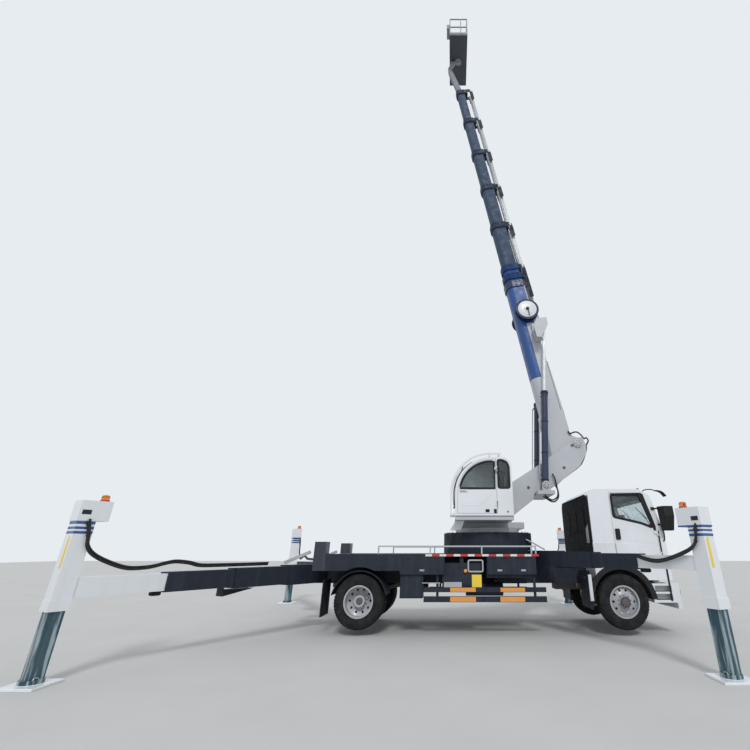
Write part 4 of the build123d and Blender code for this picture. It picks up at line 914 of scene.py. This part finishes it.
cab_black.append(swept(curve(all_at(low_mirror), 6), circle(1, 16) * (0.010, 0.085)))
piece("cab_trim", cab_black, "cab", "black_plastic")
strips = both_sides([side_wall(rounded(wing_rear, 0.012), CAB_Y + 0.002, 0.026, 0.008)])
piece("cab_side_strips", strips, "cab", "white_paint")

# The cab's rear wall is covered near-black and matt, with three raised panels on it
wall = rounded([(-1.12, 1.28), (1.12, 1.28), (1.12, 2.62), (1.03, 2.74), (-1.03, 2.74), (-1.12, 2.62)], 0.06)
pad = [face(wall, CAB_REAR - 0.014, 0.016, 0.006)]
for y in (-0.62, 0.0, 0.62):
    pad.append(box(CAB_REAR - 0.024, y - 0.22, 1.95, CAB_REAR - 0.012, y + 0.22, 2.45, 0.006))
piece("cab_back_pad", pad, "cab", "black_plastic", "rear_wall_black")
# A grey rectangle near the right-hand corner of the cab's rear wall: a painted reflection on the dark wall
reflection_patch = rounded([(-1.04, 1.72), (-0.86, 1.72), (-0.86, 2.02), (-1.04, 2.10)], 0.02)
piece("cab_back_painted_reflection", [face(reflection_patch, CAB_REAR - 0.020, 0.008)], "cab", "grey_paint")

# Windscreen seal and two wipers
glass_low, glass_top = at(6.434, 0, 2.09), at(6.322, 0, 2.64)
height, up = np.linalg.norm(glass_top - glass_low), unit(glass_top - glass_low)
screen = [rim(rounded(rect(-0.99, 0.01, 0.99, height - 0.01), 0.06), glass_low, (0, 1, 0), up, 0.05, 0.012)]
for y in (-0.72, 0.12):
    pivot = glass_low + (0.018, y, -0.06)
    tip = glass_low + up * 0.34 + (0.022, y + 0.40, 0)
    wiper = [pivot, (pivot + tip) / 2 + (0.008, 0, 0), tip]
    blade = [tip - up * 0.18 - (0, 0.24, 0), tip + up * 0.12 + (0, 0.18, 0)]
    screen += [pipe(path, 0.008, 8) for path in (wiper, blade)]
    screen.append(turned([(0.022, -0.02), (0.022, 0.012), (0.014, 0.02)], pivot, (1, 0, 0.2), 16))
piece("windscreen_seal", screen, "cab", "black_plastic")

grille = rounded([(-0.84, 1.20), (0.84, 1.20), (0.90, 1.70), (-0.90, 1.70)], 0.06)
piece("grille_panel", [face(grille, CAB_FACE - 0.004, 0.012)], "cab", "black_plastic")
slats = [face(rounded(rect(-0.62, 1.80, 0.62, 1.93), 0.03), CAB_FACE - 0.004, 0.010)]
for z in (1.26, 1.35, 1.44, 1.53, 1.62):
    slats.append(box(CAB_FACE + 0.004, -0.80, z, CAB_FACE + 0.026, 0.80, z + 0.038, 0.008))
piece("grille_slats", slats, "cab", "white_paint")
bowls, lenses = [face(rounded(rect(0.70, 0.70, 0.96, 0.86), 0.03), BUMPER_X - 0.002, 0.008)], []
for y in (0.765, 0.89):
    centre = at(BUMPER_X, y, 0.78)
    bowls.append(turned([(0.058, 0.004), (0.058, 0.012), (0.05, 0.013)], centre, (1, 0, 0), 28))
    lenses.append(turned([(0.05, 0.011), (0.046, 0.016), (0.025, 0.020)], centre, (1, 0, 0), 28))
piece("headlamp_bowls", both_sides(bowls), "chassis", "black_plastic")
piece("headlamp_glass", both_sides(lenses), "chassis", "clear_glass", "lamp_glass")
ambers = [box(5.31, CAB_Y - 0.012, 1.27, 5.38, CAB_Y + 0.012, 1.30)]
ambers.append(box(BUMPER_X - 0.03, -1.10, 0.72, BUMPER_X + 0.004, -1.0, 0.83, 0.01))
piece("indicators", both_sides(ambers), "chassis", finish="amber_glass")
guards = both_sides([box(4.716, -1.205, 0.62, 4.785, -1.18, 1.11, 0.008)])
piece("wheel_guard_plates", guards, "chassis", "white_paint")
plates = [box(BUMPER_X - 0.002, -0.22, 0.60, BUMPER_X + 0.006, 0.22, 0.74, 0.003)]
piece("front_plate", plates, "chassis", "silver_paint")
slots = [box(BUMPER_X - 0.006, -0.62, z, BUMPER_X + 0.003, 0.62, z + 0.05) for z in (0.515, 0.80)]
piece("bumper_slots", slots, "chassis", "black_plastic")
mirror = rounded([(-1.20, 2.43), (-1.445, 2.42), (-1.445, 2.26), (-1.36, 2.0), (-1.24, 2.0)], 0.03)
piece("mirror_glass", both_sides([face(mirror, 6.404, 0.006)]), "cab", "clear_glass", "mirror_face")

# Rear lamps on the last cross member
shells = both_sides([box(-1.735, -0.52, 1.06, -1.70, -0.16, 1.18, 0.01)])
piece("tail_lamp_shells", shells, "chassis", "black_plastic")
tail = [box(-1.752, y0, 1.075, -1.733, y1, 1.165, 0.008) for y0, y1 in ((-0.50, -0.34), (-0.33, -0.18))]
piece("tail_lamps", both_sides(tail), "chassis", finish="red_glass")

# Deck side
DECK_SIDE, LOCKER_SIDE, GUARD_SIDE, TAPE_STEP = 1.25, 1.216, 1.225, 0.297


def side_mark(x0, x1, z0, z1, y):
    """A thin plate or strip of tape on a side face at y, its edges just proud of the face."""
    return box(x0, -y - 0.003, z0, x1, -y + 0.001, z1, 0.001)


tapes = {}
for name, first, length in (("red", 1.48, 0.16), ("white", 1.343, 0.137)):
    starts = first + TAPE_STEP * np.arange(8)
    tapes[name] = [side_mark(x, x + length, 1.455, 1.497, DECK_SIDE) for x in starts]
guard_marks = [side_mark(*span, GUARD_SIDE) for span in (
    (1.863, 2.385, 0.612, 0.703), (2.882, 3.381, 0.612, 0.703),
    (1.863, 2.385, 0.792, 0.868), (2.89, 3.39, 0.792, 0.868),
)]
panel = rounded(from_axle(rect(2.24, 1.165, 2.54, 1.38)), 0.03)
side_plates = [
    side_mark(1.735, 2.10, 0.874, 0.97, LOCKER_SIDE), side_mark(1.285, 1.657, 0.945, 0.961, LOCKER_SIDE),
    side_rim(panel, -LOCKER_SIDE, 0.03, 0.016),
]
knob = [(0.02, 0), (0.02, 0.02), (0.034, 0.024), (0.034, 0.042), (0.026, 0.05)]
knob = turned(knob, at(2.18, -LOCKER_SIDE, 1.18), (0, -1, 0), 20)
for name, marks, finish, slot in (
    ("red_tape", tapes["red"], "red_paint", None), ("white_tape", tapes["white"], None, "white_paint"),
    ("guard_marks", guard_marks, "orange_paint", None), ("side_plates", side_plates, None, "silver_paint"),
    ("blank_signs", [side_mark(2.31, 2.51, 0.865, 1.108, LOCKER_SIDE)], "yellow_paint", None),
    ("tap_knob", [knob], "orange_paint", None),
):
    piece(name, both_sides(marks), "chassis", slot, finish)


def rail_bands(f, colour):
    """Light grey rails, dark boxes behind."""
    return f.mix(f.above(-0.72, f.from_axle()), colour, DARK)


dress("deck_rails", paint("rail_paint", (0.40, 0.43, 0.46), gloss=0.45, bands=rail_bands))
hinges, latches = [], []
for x0, x1 in ((0.86, 1.70), (2.66, 3.12), (3.16, 3.60)):
    for x in (x0 + 0.12, x1 - 0.12):
        pin = [at(x + dx, -DECK_SIDE - 0.006, 1.425) for dx in (-0.04, 0.04)]
        hinges.append(pipe(pin, 0.008, 10))
    mid = (x0 + x1) / 2
    seam = rounded(from_axle(rect(x0, 1.13, x1, 1.43)), 0.015)
    hinges.append(side_rim(seam, -DECK_SIDE + 0.001, 0.012, 0.004))
    latches.append(box(mid - 0.05, -DECK_SIDE - 0.010, 1.17, mid + 0.05, -DECK_SIDE + 0.001, 1.21, 0.006))
piece("fascia_doors", both_sides(hinges), "chassis", "dark_paint")
piece("fascia_latches", both_sides(latches), "chassis", "silver_paint", "bolt_steel")

# Struts from the pedestal to the deck and along it, and the bracket under the operator's cab
strut = all_at([(3.57, -0.64, 1.80), (3.70, -0.655, 1.735), (3.97, -0.69, 1.585)])
strut = swept(strut, rect(-0.012, -0.03, 0.012, 0.03))
bar = all_at([(-1.643, -1.10, 1.33), (-1.38, -1.10, 1.437), (-1.12, -1.10, 1.54)])
bar = swept(bar, rect(-0.03, -0.03, 0.03, 0.03))
piece("deck_struts", [strut] + both_sides([bar]), "chassis", "silver_paint")
outline = rounded(from_axle([(1.85, 1.975), (2.09, 1.975), (2.22, 2.255), (2.03, 2.255)]), 0.03)
piece("cab_step_bracket", [side_wall(outline, -0.94, 0.10, 0.006)], "turret", "white_paint")

# Outriggers, drawn for the right-hand side. t runs out along the beam from the middle line, w square to it.
FACING = {"rear": 1, "front": -1}


def beam_axes(end):
    """Unit vectors along and square to the beam."""
    c, s = cos(radians(OUTRIGGERS[end][1])), sin(radians(OUTRIGGERS[end][1]))
    return np.array([c, -s, 0]), np.array([s, c, 0])


def on_beam(end, t, w, z):
    """A point t out along the beam from the middle line, w square to it, z over the ground."""
    along, square = beam_axes(end)
    return at(OUTRIGGERS[end][0], 0, z) + along * t + square * w


def beam_block(end, t, w, z, edge=0.004):
    """A block with edges cut, its sides along and square to the beam, w counted towards its hose side."""
    w = sorted(FACING[end] * side for side in w)
    shape = block((t[0], w[0], z[0]), (t[1], w[1], z[1]), edge)
    return moved(shape, np.column_stack([*beam_axes(end), (0, 0, 1)]), on_beam(end, 0, 0, 0))


def leg_bands(end):
    def bands(f, colour):
        """White, with three blue stripes below the cover."""
        z, tone = f.height(), colour
        for low, high in STRIPES[end]:
            tone = f.mix(f.between(low, z, high), tone, BLUE)
        return tone
    return bands


def jack_bands(f, colour):
    """Teal with pale worn streaks, and a white pad."""
    streak = f.ramp(f.noise(17, 6, (1, 1, 0.07)), 0.50, 0.60)
    worn = f.mix(f.product(streak, 0.8), colour, (0.36, 0.46, 0.49))
    return f.mix(f.above(0.034, f.height()), worn, WHITE)


# t of the mouths of the first and second stages
MOUTHS = {"rear": (2.66, 3.83), "front": (2.44, 3.47)}
STRIPES = {
    "rear": [(1.918, 1.955), (1.850, 1.884), (1.789, 1.825)],
    "front": [(1.888, 1.922), (1.833, 1.863), (1.766, 1.804)],
}
# end: the hose's points (t, w, z) from under the leg's cover to the casing, and how many ride on the leg
HOSES = {
    "rear": ([
        (5.10, 0.135, 1.96), (5.06, 0.15, 1.77), (5.03, 0.15, 1.62), (4.91, 0.13, 1.50), (4.66, 0.10, 1.387),
        (4.42, 0.08, 1.318), (4.18, 0.06, 1.315), (4.02, 0.05, 1.335), (3.89, 0.05, 1.367),
        (3.72, 0.05, 1.392), (3.49, 0.05, 1.369), (3.30, 0.06, 1.325), (2.95, 0.07, 1.318),
        (2.40, 0.08, 1.318), (1.95, 0.08, 1.32),
    ], 4),
    "front": ([
        (4.66, -0.135, 1.915), (4.63, -0.15, 1.70), (4.52, -0.155, 1.585), (4.32, -0.155, 1.504),
        (4.08, -0.155, 1.434), (3.90, -0.155, 1.408), (3.72, -0.15, 1.427), (3.50, -0.145, 1.485),
    ], 3),
}
HOSE_STEPS, HOSE_BESIDE = 12, np.array([0.012, 0.0, 0.03])
LEG_HALF, THIRD_STAGE_GAP = 0.1125, 0.04
# The lamp on the leg and its foot
LAMP = [
    [(0.052, 0.022), (0.052, 0.07), (0.046, 0.085), (0.03, 0.095)],
    [(0.06, 0), (0.06, 0.02), (0.055, 0.026)],
]
# The gusset under the first mouth: a wedge and the strip that it hangs from
LEDGE, HANGER = [(0.008, -0.032), (0.008, -0.14), (-0.62, -0.036)], rect(0.001, 0.004, 0.008, -0.04)
beam_paint = {end: paint(end + "_leg_paint", WHITE, bands=leg_bands(end)) for end in STRIPES}
jack_paint = paint("jack_paint", (0.010, 0.055, 0.085), gloss=0.3, bands=jack_bands)
for end, (_, angle, mid, first_height, reach, top) in OUTRIGGERS.items():
    c, s = cos(radians(angle)), sin(radians(angle))
    leg = reach / s
    points, on_leg = HOSES[end]
    route = curve([on_beam(end, *p) for p in points], HOSE_STEPS)
    cut = HOSE_STEPS * (on_leg - 1)
    upright, lying = (
        [pipe(path, 0.019), pipe(path + HOSE_BESIDE, 0.014)] for path in (route[:cut + 1], route[cut:])
    )
    upright += [clamp(route[i], route[i + 1] - route[i], 0.021) for i in (3, 12)]
    leg_end = leg + LEG_HALF
    mark = beam_block(end, (leg_end - 0.001, leg_end + 0.003), (0.015, 0.07), (1.35, 1.755), 0.001)
    lamp_at = on_beam(end, leg - 0.17, FACING[end] * 0.04, top)
    lamp, lamp_foot = (turned(profile, lamp_at, (0, 0, 1), 28) for profile in LAMP)
    cover_w = (LEG_HALF * 1.09, LEG_HALF * 1.13)
    cover = beam_block(end, (leg - 0.02, leg + 0.09), cover_w, (top - 0.19, top - 0.13), 0.003)
    first_mouth, second_mouth = MOUTHS[end]
    first_low, third_low = mid - first_height / 2, mid - first_height / 2 + THIRD_STAGE_GAP
    lug_t, lug_z = (second_mouth - 0.004, second_mouth + 0.13), (third_low - 0.065, third_low - 0.006)
    lug = beam_block(end, lug_t, (-0.06, 0.06), lug_z, 0.012)
    under_mouth = on_beam(end, first_mouth, -0.10, first_low)
    gusset = [plate(outline, under_mouth, (c, -s, 0), (0, 0, 1), 0.20) for outline in (LEDGE, HANGER)]
    ring_at = on_beam(end, leg, FACING[end] * 0.108, 0.070)
    ring = pipe(arc(ring_at, 0.032, np.linspace(0, 2 * pi, 25), (c, -s, 0)), 0.007, 8)
    eye = beam_block(end, (leg - 0.02, leg + 0.02), (0.088, 0.116), (0.092, 0.108))
    for side, side_name in SIDES.items():
        corner = end + "_" + side_name
        body = "outrigger_beam_" + corner
        piece("leg_hose_" + corner, upright, body, "black_plastic", "hose_rubber", side)
        soft = piece("beam_hose_" + corner, lying, body, "black_plastic", "hose_rubber", side)
        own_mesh(soft)
        piece("leg_mark_" + corner, [mark], body, None, "yellow_paint", side)
        piece("leg_lamp_" + corner, [lamp], body, None, "amber_glass", side)
        piece("leg_lamp_foot_" + corner, [lamp_foot], body, None, "red_paint", side)
        piece("leg_plates_" + corner, [cover], body, "dark_paint", side=side)
        stop = piece("stage_buffer_" + corner, [lug], "outrigger_middle_" + corner, "tyre_rubber", side=side)
        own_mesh(stop)
        if end == "rear":
            piece("stage_gusset_" + corner, gusset, "outrigger_outer_" + corner, "dark_paint", side=side)
        jack = "outrigger_jack_" + corner
        dress(body, beam_paint[end])
        dress(jack, jack_paint)
        piece("jack_ring_" + corner, [ring, eye], jack, "silver_paint", "bolt_steel", side)

# Basket
BASKET_X0, BASKET_X1, FLOOR_Z = 1.8025, 2.5025, 20.03


def basket_bands(f, colour):
    """Grey rails over a dark floor and toe board."""
    return f.mix(f.above(FLOOR_Z + 0.12, f.height()), colour, (0.036, 0.046, 0.062))


dress("basket", paint("basket_paint", (0.24, 0.26, 0.28), gloss=0.5, bands=basket_bands))
ribs = [
    box(BASKET_X0 + 0.04, y, FLOOR_Z + 0.028, BASKET_X1 - 0.04, y + 0.02, FLOOR_Z + 0.036, 0.003)
    for y in np.linspace(-0.85, 0.83, 12)
]
piece("basket_floor_ribs", ribs, "basket", "dark_paint")

# Ground, sky, sun and camera
GROUND_HALF, GROUND_Z = 60, -0.002
floor_mesh = bpy.data.meshes.new("floor")
corners = [(x, y, GROUND_Z) for x, y in rect(-GROUND_HALF, -GROUND_HALF, GROUND_HALF, GROUND_HALF)]
floor_mesh.from_pydata(corners, [], [(0, 1, 2, 3)])
floor = placed("floor", floor_mesh)
ground = Finish("ground", Roughness=0.9)
ground.colour(ground.mix(ground.noise(0.8, 4), (0.52, 0.52, 0.51), (0.60, 0.60, 0.59)))
floor_mesh.materials.append(ground.material)

# The sky lights the truck with one colour, and the camera, reflections and glass see another
world = bpy.data.worlds.new("studio")
bpy.context.scene.world = world
world.use_nodes = True
sky = world.node_tree
rays = sky.nodes.new("ShaderNodeLightPath").outputs
seen = rays["Is Camera Ray"]
for kind in ("Is Glossy Ray", "Is Transmission Ray"):
    either = sky.nodes.new("ShaderNodeMath")
    either.operation = "MAXIMUM"
    sky.links.new(seen, either.inputs[0])
    sky.links.new(rays[kind], either.inputs[1])
    seen = either.outputs[0]
blended = sky.nodes.new("ShaderNodeMixShader")
sky.links.new(seen, blended.inputs[0])
lit, shown = sky.nodes["Background"], sky.nodes.new("ShaderNodeBackground")
for background, colour, strength, socket in (
    (lit, (0.93, 0.96, 1.0, 1), 0.72, 1), (shown, (0.80, 0.84, 0.88, 1), 1.0, 2),
):
    background.inputs["Color"].default_value = colour
    background.inputs["Strength"].default_value = strength
    sky.links.new(background.outputs[0], blended.inputs[socket])
sky.links.new(blended.outputs[0], sky.nodes["World Output"].inputs["Surface"])

sun_data = bpy.data.lights.new("sun", "SUN")
sun_data.energy = 1.3
sun_data.angle = radians(12)
placed("sun", sun_data, tilt=(48, -18, 20))

CAMERA_AT, CAMERA_PITCH = at(1.9, -10.75, 1.58), 22.8
FOCAL_LENGTH, PICTURE_SHIFT = 19.97, -77 / 750
camera_data = bpy.data.cameras.new("camera")
camera_data.lens = FOCAL_LENGTH
camera_data.shift_x = PICTURE_SHIFT
camera = placed("camera", camera_data, CAMERA_AT, (90 + CAMERA_PITCH, 0, 0))
bpy.context.scene.camera = camera
bpy.context.scene.view_settings.view_transform = "Standard"
